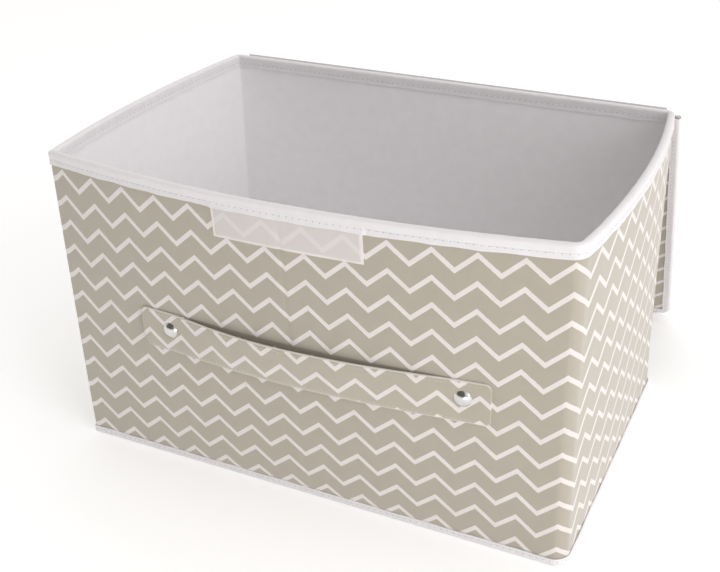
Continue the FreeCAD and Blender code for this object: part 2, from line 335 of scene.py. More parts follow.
def ripple(wall, along, z):
    """Small unevenness of fabric stretched over board, in metres outwards."""
    phase = TURN[wall] * 1.7
    slow = math.sin(along / 0.031 + phase) * math.sin(z / 0.047 + 0.6 * phase + along / 0.11)
    slower = math.sin(along / 0.083 + 2.1 * phase + 1.0) * math.sin(z / 0.068 + phase)
    pucker = math.sin(along / 0.0021 + 2.0 * math.sin(along / 0.009))
    near_rim = math.exp(-max(0.0, RIM_LOW - z) / (9 * MM))
    near_base = math.exp(-max(0.0, z - BASE_TOP) / (7 * MM))
    start, end = SPAN[wall]
    fade = smooth_step(0, 20 * MM, z) * smooth_step(0, 14 * MM, min(along - start, end - along))
    waves = (0.28 * slow + 0.35 * slower) * fade
    return (waves + 0.10 * pucker * (near_rim + 0.7 * near_base) * fade) * MM


def crease(wall, along, z):
    """The groove between the two half boards of the long walls."""
    if wall in ("right", "left"):
        return 0.0
    depth = CREASE_DEPTH * (0.35 + 0.65 * smooth_step(0.02, RIM_Z, z))
    depth *= 1 - 0.9 * smooth_step(RIM_LOW - 12 * MM, RIM_LOW, z)
    return depth * math.exp(-((along / CREASE_WIDTH) ** 2))


def wall_out(wall, along, inset, z):
    """How far a layer of a wall lies from the middle of the box, before its corners move."""
    out = OUT[wall] - inset + BOW[wall] * bow_growth(z) * (1 - from_middle(wall, along) ** 2)
    return out + ripple(wall, along, z) - crease(wall, along, z)


def wall_point(wall, along, out, z):
    return to_world(wall, along, out, z) + wall_shift(wall, along, z)


class WallStation:
    """A place along a wall's straight part."""

    def __init__(self, wall, along, u):
        self.wall = wall
        self.along = along
        self.u = u

    def at(self, inset, z):
        out = wall_out(self.wall, self.along, inset, z)
        return wall_point(self.wall, self.along, out, z)


class CornerStation:
    """A place round a soft corner, from the end of one wall to the start of the next."""

    def __init__(self, wall, share, u):
        self.wall = wall
        self.next = wall_after(wall)
        self.share = share
        self.u = u

    def at(self, inset, z):
        growth = bow_growth(z)
        radius = CORNER_RADIUS[self.wall] - inset
        handle = CORNER_PULL[self.wall] * radius
        start = SPAN[self.next][0]
        end = SPAN[self.wall][1]
        start_slope = 4 * BOW[self.wall] * growth / (end - SPAN[self.wall][0])
        end_slope = 4 * BOW[self.next] * growth / (SPAN[self.next][1] - start)
        out = OUT[self.wall] - inset
        a = to_world(self.wall, end, out, z)
        b = to_world(self.wall, end + handle, out - handle * start_slope, z)
        out = OUT[self.next] - inset
        c = to_world(self.next, start - handle, out - handle * end_slope, z)
        d = to_world(self.next, start, out, z)
        t = self.share
        s = 1 - t
        point = a * s**3 + b * 3 * s * s * t + c * 3 * s * t * t + d * t**3
        before = end_shift(END_SHIFT, self.wall, z) * s * s * (s + 3 * t)
        return point + before + end_shift(START_SHIFT, self.next, z) * t * t * (t + 3 * s)


def corner_length(wall):
    """Length of the printed fabric round a corner."""
    places = [CornerStation(wall, i / 16, 0.0).at(COVER_IN, BASE_TOP) for i in range(17)]
    return sum((b - a).length for a, b in zip(places, places[1:]))


ARC = {wall: corner_length(wall) - CORNER_TIGHTNESS for wall in WALLS}


def wall_run(wall):
    return SPAN[wall][1] - SPAN[wall][0]


# The cloth coordinate at the start of each wall's straight part; it is x on the front wall.
U_START = {"front": SPAN["front"][0]}
U_START["right"] = SPAN["front"][1] + ARC["front"]
U_START["back"] = U_START["right"] + wall_run("right") + ARC["right"]
U_START["left"] = U_START["front"] - ARC["left"] - wall_run("left")


def wall_stations(wall, count):
    start, end = SPAN[wall]
    return [
        WallStation(wall, along, U_START[wall] + along - start) for along in spread(start, end, count)
    ]


def corner_stations(wall, count, first=0.0, last=1.0):
    """Stations round the corner after a wall."""
    if wall == "back":
        u_start = U_START["left"] - ARC["back"] if first > 0 else U_START["back"] + wall_run("back")
    else:
        u_start = U_START[wall] + wall_run(wall)
    return [CornerStation(wall, share, u_start + share * ARC[wall]) for share in spread(first, last, count)]


def front_stations():
    """The front wall and its two corners, closer together at the crease between its two boards."""
    start, end = SPAN["front"]
    near = 9 * MM
    places = spread(start, -near, 58) + spread(-near, near, 21)[1:-1] + spread(near, end, 58)
    run = corner_stations("left", 13)[:-1]
    run += [WallStation("front", along, along) for along in places]
    return run + corner_stations("front", 17)[1:]


def side_runs():
    """The other walls as two runs, which meet where the cloth is joined in the back left corner."""
    right_and_back = wall_stations("right", 61)
    right_and_back += corner_stations("right", 11)[1:]
    right_and_back += wall_stations("back", 91)[1:]
    right_and_back += corner_stations("back", 6, 0.0, 0.5)[1:]
    return right_and_back, corner_stations("back", 6, 0.5, 1.0) + wall_stations("left", 61)[1:]


def side_stations():
    right_and_back, left = side_runs()
    return right_and_back + left


# ---------------------------------------------------------------- lid and flap as places


def lid_place(x, n, s):
    """The lid's own coordinates: across, out of its printed face, and down from the hinge."""
    y = HINGE.y + s * math.sin(LEAN) - n * math.cos(LEAN)
    z = HINGE.z - s * math.cos(LEAN) - n * math.sin(LEAN)
    return Vector((narrowed(x, s / LID_LENGTH), y, z))


def narrowed(x, share):
    """Where a point across the lid lies, at a share of the way to its free edge."""
    return x * (1 - share * LID_TAPER / LID_HALF) - share * LID_SKEW


def flap_place(x, m, t):
    """The flap's own coordinates: across, out of its printed face, and away from its fold."""
    return Vector((narrowed(x, 1.0), FOLD.y + t, FOLD.z - m))


class EdgeStation:
    """A place on the bound edge of a panel; inset runs inwards over the panel."""

    def __init__(self, place, x, s, inward, u):
        self.place = place
        self.x = x
        self.s = s
        self.inward = inward
        self.u = u

    def at(self, inset, height):
        x = self.x + self.inward[0] * inset
        s = self.s + self.inward[1] * inset
        return self.place(x, height, s)


def edge_stations(place, half, start, length, radius, step):
    """Down the right edge of a panel, across its free edge and up the left one."""
    stations = []
    down = max(2, round((length - start) / step))
    across = 2 * (half - radius)

    def turn_corner(side, first_angle, u):
        for i in range(1, 8):
            turn = math.pi / 2 * i / 8
            angle = first_angle + turn
            x = side * (half - radius) + radius * math.cos(angle)
            s = length - radius + radius * math.sin(angle)
            inward = (-math.cos(angle), -math.sin(angle))
            stations.append(EdgeStation(place, x, s, inward, u + turn * radius))

    for s in spread(start, length - radius, down):
        stations.append(EdgeStation(place, half, s, (-1, 0), s - start))
    u = length - radius - start
    turn_corner(1, 0.0, u)
    u += radius * math.pi / 2
    for x in spread(half - radius, radius - half, max(2, round(across / step))):
        stations.append(EdgeStation(place, x, length, (0, -1), u + half - radius - x))
    u += across
    turn_corner(-1, math.pi / 2, u)
    u += radius * math.pi / 2
    for s in spread(length - radius, start, down):
        stations.append(EdgeStation(place, -half, s, (1, 0), u + length - radius - s))
    return stations


# ---------------------------------------------------------------- materials


class Nodes:
    """Short names for building a node material."""

    def __init__(self, name, roughness, sheen=0.0, metallic=0.0):
        self.material = bpy.data.materials.new(name)
        self.material.use_nodes = True
        self.tree = self.material.node_tree
        self.shader = self.tree.nodes["Principled BSDF"]
        self.shader.inputs["Roughness"].default_value = roughness
        self.shader.inputs["Metallic"].default_value = metallic
        if sheen:
            self.shader.inputs["Sheen Weight"].default_value = sheen
            self.shader.inputs["Sheen Roughness"].default_value = 0.6

    def node(self, kind, **values):
        made = self.tree.nodes.new(kind)
        for key, value in values.items():
            setattr(made, key, value)
        return made

    def link(self, source, target):
        if isinstance(source, (int, float)):
            target.default_value = source
        else:
            self.tree.links.new(source, target)

    def math(self, operation, a, b=None, c=None, clamp=False):
        made = self.node("ShaderNodeMath", operation=operation, use_clamp=clamp)
        for value, socket in zip((a, b, c), made.inputs):
            if value is not None:
                self.link(value, socket)
        return made.outputs[0]

    def ramp(self, value, low, high):
        """0 below low and 1 above high, smooth between."""
        made = self.node("ShaderNodeMapRange", interpolation_type="SMOOTHSTEP")
        self.link(value, made.inputs["Value"])
        made.inputs["From Min"].default_value = low
        made.inputs["From Max"].default_value = high
        return made.outputs["Result"]

    def mix(self, share, first, second):
        """Colour mix; each end is a colour tuple or a socket."""
        made = self.node("ShaderNodeMix", data_type="RGBA")
        self.link(share, made.inputs[0])
        for value, socket in ((first, made.inputs[6]), (second, made.inputs[7])):
            if isinstance(value, tuple):
                socket.default_value = (*value, 1.0)
            else:
                self.tree.links.new(value, socket)
        return made.outputs[2]

    def cloth_uv(self):
        """The two cloth coordinates in metres."""
        source = self.node("ShaderNodeUVMap", uv_map="cloth")
        split = self.node("ShaderNodeSeparateXYZ")
        self.tree.links.new(source.outputs["UV"], split.inputs[0])
        return source.outputs["UV"], split.outputs["X"], split.outputs["Y"]

    def noise(self, vector, scale, detail=2.0, roughness=0.5):
        made = self.node("ShaderNodeTexNoise")
        made.inputs["Scale"].default_value = scale
        made.inputs["Detail"].default_value = detail
        made.inputs["Roughness"].default_value = roughness
        if vector is not None:
            self.tree.links.new(vector, made.inputs["Vector"])
        return made.outputs["Fac"]

    def bump(self, height, distance, strength=1.0):
        made = self.node("ShaderNodeBump")
        made.inputs["Strength"].default_value = strength
        made.inputs["Distance"].default_value = distance
        self.link(height, made.inputs["Height"])
        self.tree.links.new(made.outputs["Normal"], self.shader.inputs["Normal"])


def embossing(nodes, u, v, pitch):
    """Height of the small bonded dots that spunbonded fabric is pressed with."""
    across = nodes.math("COSINE", nodes.math("MULTIPLY", u, 2 * math.pi / pitch))
    up = nodes.math("COSINE", nodes.math("MULTIPLY", v, 2 * math.pi / pitch))
    product = nodes.math("MULTIPLY", across, up)
    return nodes.ramp(product, -0.2, 0.7)


def print_mask(nodes, u, v, softness):
    """1 on the printed zigzag lines and 0 on the ground."""
    turns = nodes.math("DIVIDE", nodes.math("SUBTRACT", u, PRINT_PEAK_U), PRINT_PERIOD)
    turns = nodes.math("ADD", turns, 0.5)
    part = nodes.math("SUBTRACT", nodes.math("FRACT", turns), 0.5)
    below_peak = nodes.math("MULTIPLY", nodes.math("ABSOLUTE", part), 2 * PRINT_AMPLITUDE)
    height = nodes.math("ADD", nodes.math("SUBTRACT", v, PRINT_PEAK_V), below_peak)
    row = nodes.math("ADD", nodes.math("DIVIDE", height, PRINT_PITCH), 0.5)
    off = nodes.math("SUBTRACT", nodes.math("FRACT", row), 0.5)
    distance = nodes.math("MULTIPLY", nodes.math("ABSOLUTE", off), PRINT_PITCH)
    inside = nodes.ramp(distance, PRINT_LINE / 2 - softness, PRINT_LINE / 2 + softness)
    return nodes.math("SUBTRACT", 1.0, inside)


def fabric_surface(nodes, uv, u, v, colour, mottle, emboss=1.0):
    """Cloudy colour, fibres and embossing that every non-woven sheet here has."""
    cloud = nodes.noise(uv, 95.0, 3.0, 0.6)
    fibre = nodes.noise(uv, 1500.0, 3.0, 0.7)
    shade = nodes.math("ADD", nodes.math("MULTIPLY", cloud, 0.65), nodes.math("MULTIPLY", fibre, 0.35))
    darker = nodes.ramp(shade, 0.25, 0.75)
    dots = embossing(nodes, u, v, 1.45 * MM)
    dark = nodes.mix(1.0 - mottle, (0.0, 0.0, 0.0), colour)
    tone = nodes.mix(darker, dark, colour)
    tone = nodes.mix(nodes.math("MULTIPLY", dots, 0.06 * emboss), tone, (1.0, 1.0, 1.0))
    nodes.tree.links.new(tone, nodes.shader.inputs["Base Color"])
    relief = nodes.math("ADD", nodes.math("MULTIPLY", dots, -0.6 * emboss), fibre)
    relief = nodes.math("ADD", relief, nodes.math("MULTIPLY", cloud, 1.5))
    nodes.bump(relief, 0.05 * MM, 0.8)


def printed_fabric(name, ground, line):
    nodes = Nodes(name, roughness=0.85, sheen=0.45)
    uv, u, v = nodes.cloth_uv()
    wobble = nodes.noise(uv, 420.0, 2.0)
    shift = nodes.math("MULTIPLY", nodes.math("SUBTRACT", wobble, 0.5), 0.5 * MM)
    mask = print_mask(nodes, nodes.math("ADD", u, shift), nodes.math("ADD", v, shift), 0.16 * MM)
    fabric_surface(nodes, uv, u, v, nodes.mix(mask, ground, line), 0.07)
    return nodes.material


def plain_fabric(name, colour, mottle=0.05, emboss=1.0):
    nodes = Nodes(name, roughness=0.88, sheen=0.12)
    uv, u, v = nodes.cloth_uv()
    fabric_surface(nodes, uv, u, v, nodes.mix(0.0, colour, colour), mottle, emboss)
    return nodes.material


def tape_fabric(name, colour, shaded_hole_rows):
    """Binding tape with painted shade at the needle holes where its stitch lines run."""
    nodes = Nodes(name, roughness=0.85, sheen=0.12)
    uv, u, v = nodes.cloth_uv()
    turn = nodes.math("FRACT", nodes.math("DIVIDE", u, STITCH_PITCH))
    near = nodes.math("ABSOLUTE", nodes.math("SUBTRACT", turn, 0.5))
    along = nodes.math("SUBTRACT", 1.0, nodes.ramp(near, 0.05, 0.12))
    hole_shade = None
    for place in shaded_hole_rows:
        away = nodes.math("ABSOLUTE", nodes.math("SUBTRACT", v, place))
        across = nodes.math("SUBTRACT", 1.0, nodes.ramp(away, 0.2 * MM, 0.55 * MM))
        hole_shade_spot = nodes.math("MULTIPLY", along, across)
        hole_shade = hole_shade_spot if hole_shade is None else nodes.math("ADD", hole_shade, hole_shade_spot)
    # Painted shade: the needle holes go 60% of the way to a dark grey. A tape without stitch lines leaves
    # this input at Blender's 0.5, and so carries 30% of that painted shade all over.
    tone = nodes.mix(nodes.math("MULTIPLY", hole_shade, 0.6), colour, (0.28, 0.28, 0.30))
    fabric_surface(nodes, uv, u, v, tone, 0.04, 0.6)
    return nodes.material


def hook_tape_plastic(name, ground, line, edge_tone):
    """Milky hook tape: the print shows faintly through it, and its cut edges are denser."""
    nodes = Nodes(name, roughness=0.5)
    uv, u, v = nodes.cloth_uv()
    mask = print_mask(nodes, u, v, 0.5 * MM)
    seen = nodes.mix(mask, ground, line)
    low_v = HOOK_BOX[0].z
    from_middle_u = nodes.math("SUBTRACT", u, HOOK_X)
    to_side = nodes.math("SUBTRACT", HOOK_HALF, nodes.math("ABSOLUTE", from_middle_u))
    to_low = nodes.math("SUBTRACT", v, low_v)
    edge = nodes.math("MINIMUM", to_side, to_low)
    border = nodes.math("SUBTRACT", 1.0, nodes.ramp(edge, 1.5 * MM, 2.1 * MM))
    tone = nodes.mix(border, seen, edge_tone)
    nodes.tree.links.new(tone, nodes.shader.inputs["Base Color"])
    hooks = embossing(nodes, u, v, 1.1 * MM)
    fibre = nodes.noise(uv, 1300.0, 2.0)
    nodes.bump(nodes.math("ADD", nodes.math("MULTIPLY", hooks, 1.2), fibre), 0.12 * MM, 0.6)
    return nodes.material


def loop_fabric(name, colour):
    nodes = Nodes(name, roughness=0.95, sheen=0.4)
    uv, _, _ = nodes.cloth_uv()
    fuzz = nodes.noise(uv, 1700.0, 4.0, 0.8)
    tone = nodes.mix(nodes.ramp(fuzz, 0.3, 0.7), tuple(0.86 * c for c in colour), colour)
    nodes.tree.links.new(tone, nodes.shader.inputs["Base Color"])
    nodes.bump(fuzz, 0.4 * MM, 0.8)
    return nodes.material


def thread_material(name, colour):
    nodes = Nodes(name, roughness=0.6, sheen=0.2)
    place = nodes.node("ShaderNodeTexCoord").outputs["Object"]
    twist = nodes.noise(place, 2600.0, 1.0)
    tone = nodes.mix(twist, tuple(0.85 * c for c in colour), colour)
    nodes.tree.links.new(tone, nodes.shader.inputs["Base Color"])
    nodes.bump(twist, 0.1 * MM, 0.5)
    return nodes.material


def rivet_material(name):
    nodes = Nodes(name, roughness=0.16, metallic=1.0)
    place = nodes.node("ShaderNodeTexCoord").outputs["Object"]
    haze = nodes.noise(place, 900.0, 3.0)
    tone = nodes.mix(haze, (0.62, 0.61, 0.60), (0.74, 0.73, 0.72))
    nodes.tree.links.new(tone, nodes.shader.inputs["Base Color"])
    rough = nodes.math("ADD", 0.12, nodes.math("MULTIPLY", haze, 0.12))
    nodes.tree.links.new(rough, nodes.shader.inputs["Roughness"])
    nodes.bump(haze, 0.02 * MM, 0.3)
    return nodes.material


def cardboard_material(name):
    nodes = Nodes(name, roughness=0.9)
    place = nodes.node("ShaderNodeTexCoord").outputs["Object"]
    fibre = nodes.noise(place, 260.0, 5.0, 0.7)
    tone = nodes.mix(fibre, (0.42, 0.33, 0.23), (0.60, 0.49, 0.36))
    nodes.tree.links.new(tone, nodes.shader.inputs["Base Color"])
    nodes.bump(fibre, 0.1 * MM, 0.4)
    return nodes.material


GROUND = (0.41, 0.365, 0.29)
LINE = (0.765, 0.708, 0.682)
WHITE = (0.80, 0.775, 0.785)
RIM_STITCH_V = 233.4 * MM
BASE_STITCH_V = 3.4 * MM

PRINTED = printed_fabric("printed_nonwoven", GROUND, LINE)
STRAP_PRINT = printed_fabric("strap_nonwoven", tuple(1.06 * c for c in GROUND), LINE)
LINING = plain_fabric("white_nonwoven", (0.88, 0.862, 0.87))
HOOK = hook_tape_plastic("hook_tape", (0.66, 0.62, 0.595), (0.72, 0.68, 0.66), (0.82, 0.76, 0.735))
LOOP = loop_fabric("loop_tape", (0.85, 0.85, 0.85))
THREAD = thread_material("white_thread", (0.86, 0.86, 0.87))
METAL = rivet_material("nickel_plate")
CARD = cardboard_material("grey_board")


# ---------------------------------------------------------------- stitches


def stitch_row(name, places, material, length=STITCH_LENGTH, radius=STITCH_RADIUS):
    """One thread piece: a small rounded bar for each stitch, from (start, end, outward)."""
    rings = 5
    sides = 6
    points = []
    faces = []
    uvs = []
    for start, end, outward in places:
        base = len(points)
        axis = end - start
        side = axis.cross(outward).normalized()
        up = side.cross(axis).normalized()
        for i in range(rings):
            share = i / (rings - 1)
            swell = math.sin(math.pi * (0.12 + 0.76 * share))
            centre = start.lerp(end, share) + up * radius * (1.3 * swell - 0.9)
            for j in range(sides):
                turn = 2 * math.pi * j / sides
                offset = side * math.cos(turn) + up * math.sin(turn)
                points.append(centre + offset * radius * (0.45 + 0.55 * swell))
                uvs.append((share, j / sides))
        faces += ring_faces(rings, sides, base)
    piece = make_mesh(name, points, faces, uvs, material, sharp=70)
    face_outwards(piece)
    return piece


def stitches_along(stations, inset, height, outward_inset=-1 * MM, outward_height=0.0):
    """Stitch ends at an even pitch along a run of stations, on the face that they lie on."""
    marks = []
    for station in stations:
        here = station.at(inset, height)
        out = station.at(inset + outward_inset, height + outward_height) - here
        marks.append((station.u, here, out))
    places = []
    first = marks[0][0]
    last = marks[-1][0]
    count = int(abs(last - first) / STITCH_PITCH)
    sign = 1 if last > first else -1
    index = 0

    def locate(u):
        nonlocal index
        while index < len(marks) - 2 and (marks[index + 1][0] - u) * sign < 0:
            index += 1
        low, high = marks[index], marks[index + 1]
        share = (u - low[0]) / (high[0] - low[0])
        return low[1].lerp(high[1], share), low[2].lerp(high[2], share)

    gap = (STITCH_PITCH - STITCH_LENGTH) / 2
    grid = math.ceil(first / STITCH_PITCH) if sign > 0 else math.floor(first / STITCH_PITCH)
    for i in range(count):
        u = (grid + sign * i) * STITCH_PITCH + sign * STITCH_PITCH / 2
        start, out = locate(u + sign * gap)
        end, _ = locate(u + sign * (gap + STITCH_LENGTH))
        if (end - start).length > 0.2 * STITCH_LENGTH:
            places.append((start, end, out.normalized()))
    return places


# ---------------------------------------------------------------- walls


def tape_run(stations, step):
    """The same run with places close enough together to show each stitch's pucker."""
    fine = []
    for here, there in zip(stations, stations[1:]):
        parts = max(1, round(abs(there.u - here.u) / step))
        for i in range(parts):
            share = i / parts
            u = here.u + (there.u - here.u) * share
            if isinstance(here, CornerStation) or isinstance(there, CornerStation):
                fine.append(Between(here, there, share, u))
            else:
                along = here.along + (there.along - here.along) * share
                fine.append(WallStation(here.wall, along, u))
    fine.append(stations[-1])
    return fine


class Between:
    """A place part of the way from one station to the next."""

    def __init__(self, here, there, share, u):
        self.here = here
        self.there = there
        self.share = share
        self.u = u

    def at(self, inset, z):
        return self.here.at(inset, z).lerp(self.there.at(inset, z), self.share)


def make_wall_layer(front_name, around_name, node, slot, inset, low, material):
    """A sheet round the box: one piece on the front and one on the other three walls."""
    profile = sheet_profile(inset, FABRIC, low, WALL_TOP, 66)
    front = sweep(front_name, front_stations(), profile, material)
    finish_piece(front, "bin", slot, node + "front")
    flatten_with_lid(front)
    around = sweep(around_name, side_stations(), profile, material)
    finish_piece(around, "bin", slot, node + "right", node + "back", node + "left")
    declare_walls()


def make_covers():
    node = "outer_cover_"
    low = 0.9 * MM
    make_wall_layer("cover_front", "cover_around", node, "printed_fabric", COVER_IN, low, PRINTED)


def make_linings():
    names = ("lining_front_look", "lining_around", "lining_")
    make_wall_layer(*names, "white_nonwoven", LINING_IN, 1.6 * MM, LINING)


def declare_walls():
    """Adds up the run of the right, back and left walls and their two corners, and keeps nothing."""
    run = sum(wall_run(wall) for wall in ("right", "back", "left")) + ARC["right"] + ARC["back"]


def make_boards():
    """Cardboard inside the walls: two halves in each long wall, one piece in each short one."""
    gap = 1.0 * MM
    profile = sheet_profile(BOARD_IN, BOARD, 1.8 * MM, RIM_Z - 2.8 * MM, 40)
    for wall, node, first, last in (
        ("front", "front_board_left", -1, 0),
        ("front", "front_board_right", 0, 1),
        ("right", "right_board", -1, 1),
        ("back", "back_board_right", -1, 0),
        ("back", "back_board_left", 0, 1),
        ("left", "left_board", -1, 1),
    ):
        low, high = SPAN[wall]
        start = low + gap if first else gap
        end = high - gap if last else -gap
        stations = [WallStation(wall, along, along) for along in spread(start, end, 50)]
        board = sweep(node + "_look", stations, profile, CARD)
        finish_piece(board, "bin", "cardboard", node)
        if wall == "front":
            flatten_with_lid(board)


def make_bottom():
    """The bottom fabric: it lies on the flange of the base tape and dips to the floor inside it."""
    lip = 5 * MM
    columns = spread(-HALF_X + lip, HALF_X - lip, 97)
    rows = spread(-HALF_Y + lip, HALF_Y - lip, 65)
    radius = 5 * MM
    flange = BASE_FLANGE - lip

    def place(x, y, top):
        edge = min(HALF_X - lip - abs(x), HALF_Y - lip - abs(y))
        x, y = round_corner(x, y, HALF_X - lip, HALF_Y - lip, radius)
        rise = 1 - smooth_step(flange, flange + 2.5 * MM, edge)
        wave = 0.12 * MM * (1 + math.sin(x / 0.017) * math.sin(y / 0.013 + x / 0.05))
        z = 0.05 * MM + 0.65 * MM * rise + wave * (1 - rise) + (FABRIC if top else 0.0)
        return Vector((x, y, z))

    piece = sheet_on_grid("bottom_fabric_look", columns, rows, place, same_uv, LINING)
    finish_piece(piece, "bin", "white_nonwoven", "bottom_fabric")


def shell_faces(columns, rows):
    """Faces of two grids, one above the other, joined round their edges."""
    count = columns * rows
    faces = []
    for j in range(rows - 1):
        for i in range(columns - 1):
            a = j * columns + i
            b = a + 1
            c = a + 1 + columns
            d = a + columns
            faces.append((a, d, c, b))
            faces.append((a + count, b + count, c + count, d + count))
    ring = list(range(columns))
    ring += [j * columns + columns - 1 for j in range(1, rows)]
    ring += [(rows - 1) * columns + i for i in range(columns - 2, -1, -1)]
    ring += [j * columns for j in range(rows - 2, 0, -1)]
    for i, here in enumerate(ring):
        there = ring[(i + 1) % len(ring)]
        faces.append((here, there, there + count, here + count))
    return faces


# ---------------------------------------------------------------- binding tape of the box


def stitched_relief(stitch_height, depth=0.32 * MM):
    """Pulls tape in along its stitch line, most at the needle holes, and waves its free edge."""

    def relief(u, inset, height, v, side):
        away = (height - stitch_height) / (1.5 * MM)
        hole = 0.5 + 0.5 * math.cos(2 * math.pi * u / STITCH_PITCH)
        pull = depth * (0.65 + 0.35 * hole) * math.exp(-away * away)
        return inset + side * pull, height

    return relief


def bulge_over_hooks(u, height):
    """How far the rim tape stands out where it covers the top of the hook tape."""
    across = 1 - smooth_step(HOOK_HALF, HOOK_HALF + 3 * MM, abs(u - HOOK_X))
    up = 1 - smooth_step(RIM_STITCH_V - 1 * MM, RIM_STITCH_V + 3 * MM, height)
    return 0.75 * MM * across * up


def rim_profile():
    """Tape folded over the top of the wall: (inset, height, v, side)."""
    low = RIM_LOW
    turn_z = RIM_Z - 2.0 * MM
    middle = STACK / 2
    rows = spread(low, turn_z, 15)
    v_top = turn_z + 2.6 * MM
    outer = [(0.0, z, z, 1) for z in rows]
    for i in range(1, 10):
        turn = math.pi * i / 10
        outer.append((middle - middle * math.cos(turn), turn_z + 2.0 * MM * math.sin(turn), v_top, 0))
    outer += [(STACK, z, z, -1) for z in reversed(rows)]
    inside = middle - TAPE
    inner = [(STACK - TAPE, z, z, -1) for z in rows]
    for i in range(1, 8):
        turn = math.pi * i / 8
        inner.append((middle + inside * math.cos(turn), turn_z + 1.4 * MM * math.sin(turn), v_top, 0))
    inner += [(TAPE, z, z, 1) for z in reversed(rows)]
    return outer + inner


def base_profile():
    """Tape folded under the bottom edge of the wall: (inset, height, v, side)."""
    radius = 1.2 * MM
    outer = [(0.0, z, z, 1) for z in spread(BASE_TOP, radius, 9)]
    for i in range(1, 5):
        turn = math.pi / 2 * i / 5
        outer.append((radius - radius * math.cos(turn), radius - radius * math.sin(turn), 0.0, 0))
    outer += [(inset, 0.0, -inset, 0) for inset in spread(radius, BASE_FLANGE, 9)]
    inner = [(inset, TAPE, -inset, 0) for inset in spread(BASE_FLANGE, radius, 9)]
    inner += [(TAPE, z, z, 1) for z in spread(radius, BASE_TOP, 9)]
    return outer + inner


def sweep_tape(name, stations, profile, material, relief):
    """A sweep whose profile is shaped by the place along it."""
    points = []
    uvs = []
    for station in stations:
        for inset, height, v, side in profile:
            inset, height = relief(station.u, inset, height, v, side)
            points.append(station.at(inset, height))
            uvs.append((station.u, v))
    return loft(name, points, uvs, len(profile), material, 50)


def rim_relief(on_front):
    stitched = stitched_relief(RIM_STITCH_V)

    def relief(u, inset, height, v, side):
        free = smooth_step(RIM_LOW + 2.5 * MM, RIM_LOW, height)
        height += 0.22 * MM * free * math.sin(u / 0.0057 + math.sin(u / 0.019))
        if side == 1:
            if on_front:
                inset -= bulge_over_hooks(u, height)
            inset -= 0.18 * MM * free * (1 + math.sin(u / 0.0093))
        return stitched(u, inset, height, v, side)

    return relief


def base_relief(u, inset, height, v, side):
    free = smooth_step(BASE_TOP - 1.8 * MM, BASE_TOP, height)
    height += 0.2 * MM * free * math.sin(u / 0.0061 + 0.7 * math.sin(u / 0.023))
    inset -= 0.12 * MM * free * (1 + math.sin(u / 0.0083))
    return stitched_relief(BASE_STITCH_V, 0.22 * MM)(u, inset, height, v, side)


def make_box_bindings():
    step = STITCH_PITCH / 4
    front = tape_run(front_stations(), step)
    around = [station for run in side_runs() for station in tape_run(run, step)]
    rim_tape = tape_fabric("rim_tape", WHITE, (RIM_STITCH_V,))
    base_tape = tape_fabric("base_tape", WHITE, (BASE_STITCH_V,))
    rim_reliefs = (rim_relief(True), rim_relief(False))
    for kind, profile, material, reliefs in (
        ("rim", rim_profile(), rim_tape, rim_reliefs),
        ("base", base_profile(), base_tape, (base_relief, base_relief)),
    ):
        tape = sweep_tape(kind + "_tape_front", front, profile, material, reliefs[0])
        finish_piece(tape, "bin", "binding_tape", kind + "_binding_front")
        flatten_with_lid(tape)
        tape = sweep_tape(kind + "_tape_around", around, profile, material, reliefs[1])
        nodes = [kind + "_binding_" + side for side in ("right", "back", "left")]
        finish_piece(tape, "bin", "binding_tape", *nodes)

    for name, runs in (("front", [front_stations()]), ("around", side_runs())):
        rim = []
        low = []
        for run in runs:
            rim += stitches_along(run, 0.18 * MM, RIM_STITCH_V)
            rim += stitches_along(run, STACK - 0.18 * MM, RIM_STITCH_V, 1 * MM)
            low += stitches_along(run, 0.12 * MM, BASE_STITCH_V)
        for kind, places in (("rim_thread_", rim), ("base_thread_", low)):
            thread = stitch_row(kind + name, places, THREAD)
            finish_piece(thread, "bin", "binding_tape")
            if name == "front":
                flatten_with_lid(thread)


# ---------------------------------------------------------------- hook tape


HOOK_BORDER = 2.0 * MM
HOOK_FACE = -0.1 * MM
HOOK_TOP = HOOK_BOX[1].z + 4 * MM


def on_hook_border(u, z):
    """1 on the flat sealed border of the hook tape and 0 on its field of hooks."""
    edge = min(HOOK_HALF - abs(u - HOOK_X), z - HOOK_BOX[0].z)
    return 1 - smooth_step(HOOK_BORDER - 0.3 * MM, HOOK_BORDER + 0.3 * MM, edge)


def make_hook_tape():
    half = HOOK_HALF
    low = HOOK_BOX[0].z
    places = edge_spread(half, 3 * MM, 9, 69)
    stations = [WallStation("front", HOOK_X + u, HOOK_X + u) for u in places]
    rows = spread(low, low + 3 * MM, 9) + spread(low + 3 * MM, HOOK_TOP, 22)[1:]
    outer = [(HOOK_FACE, z, z, 1) for z in rows]
    inner = [(COVER_IN - 0.05 * MM, z, z, -1) for z in reversed(rows)]

    def relief(u, inset, height, v, side):
        if side == 1:
            inset += 0.35 * MM * on_hook_border(u, height)
            wave = math.sin(u / 0.013) + math.sin(u / 0.0041 + height / 0.003)
            inset -= 0.05 * MM * wave
        return inset, height

    tape = sweep_tape("hook_tape_look", stations, outer + inner, HOOK, relief)
    finish_piece(tape, "bin", "hook_tape", "hook_tape")
    flatten_with_lid(tape)

    edge = 1.0 * MM
    face = HOOK_FACE + 0.3 * MM
    side_rows = spread(low + edge, RIM_LOW - 1 * MM, 12)
    left = HOOK_X - half + edge
    right = HOOK_X + half - edge
    path = [PointStation(left, z) for z in reversed(side_rows)]
    path += [PointStation(u, low + edge) for u in spread(left, right, 60)[1:-1]]
    path += [PointStation(right, z) for z in side_rows]
    measure(path)
    places = stitches_along(path, face, 0.0, -1 * MM)
    thread = stitch_row("hook_thread", places, THREAD, 2.4 * MM, 0.16 * MM)
    finish_piece(thread, "bin", "hook_tape")
    flatten_with_lid(thread)


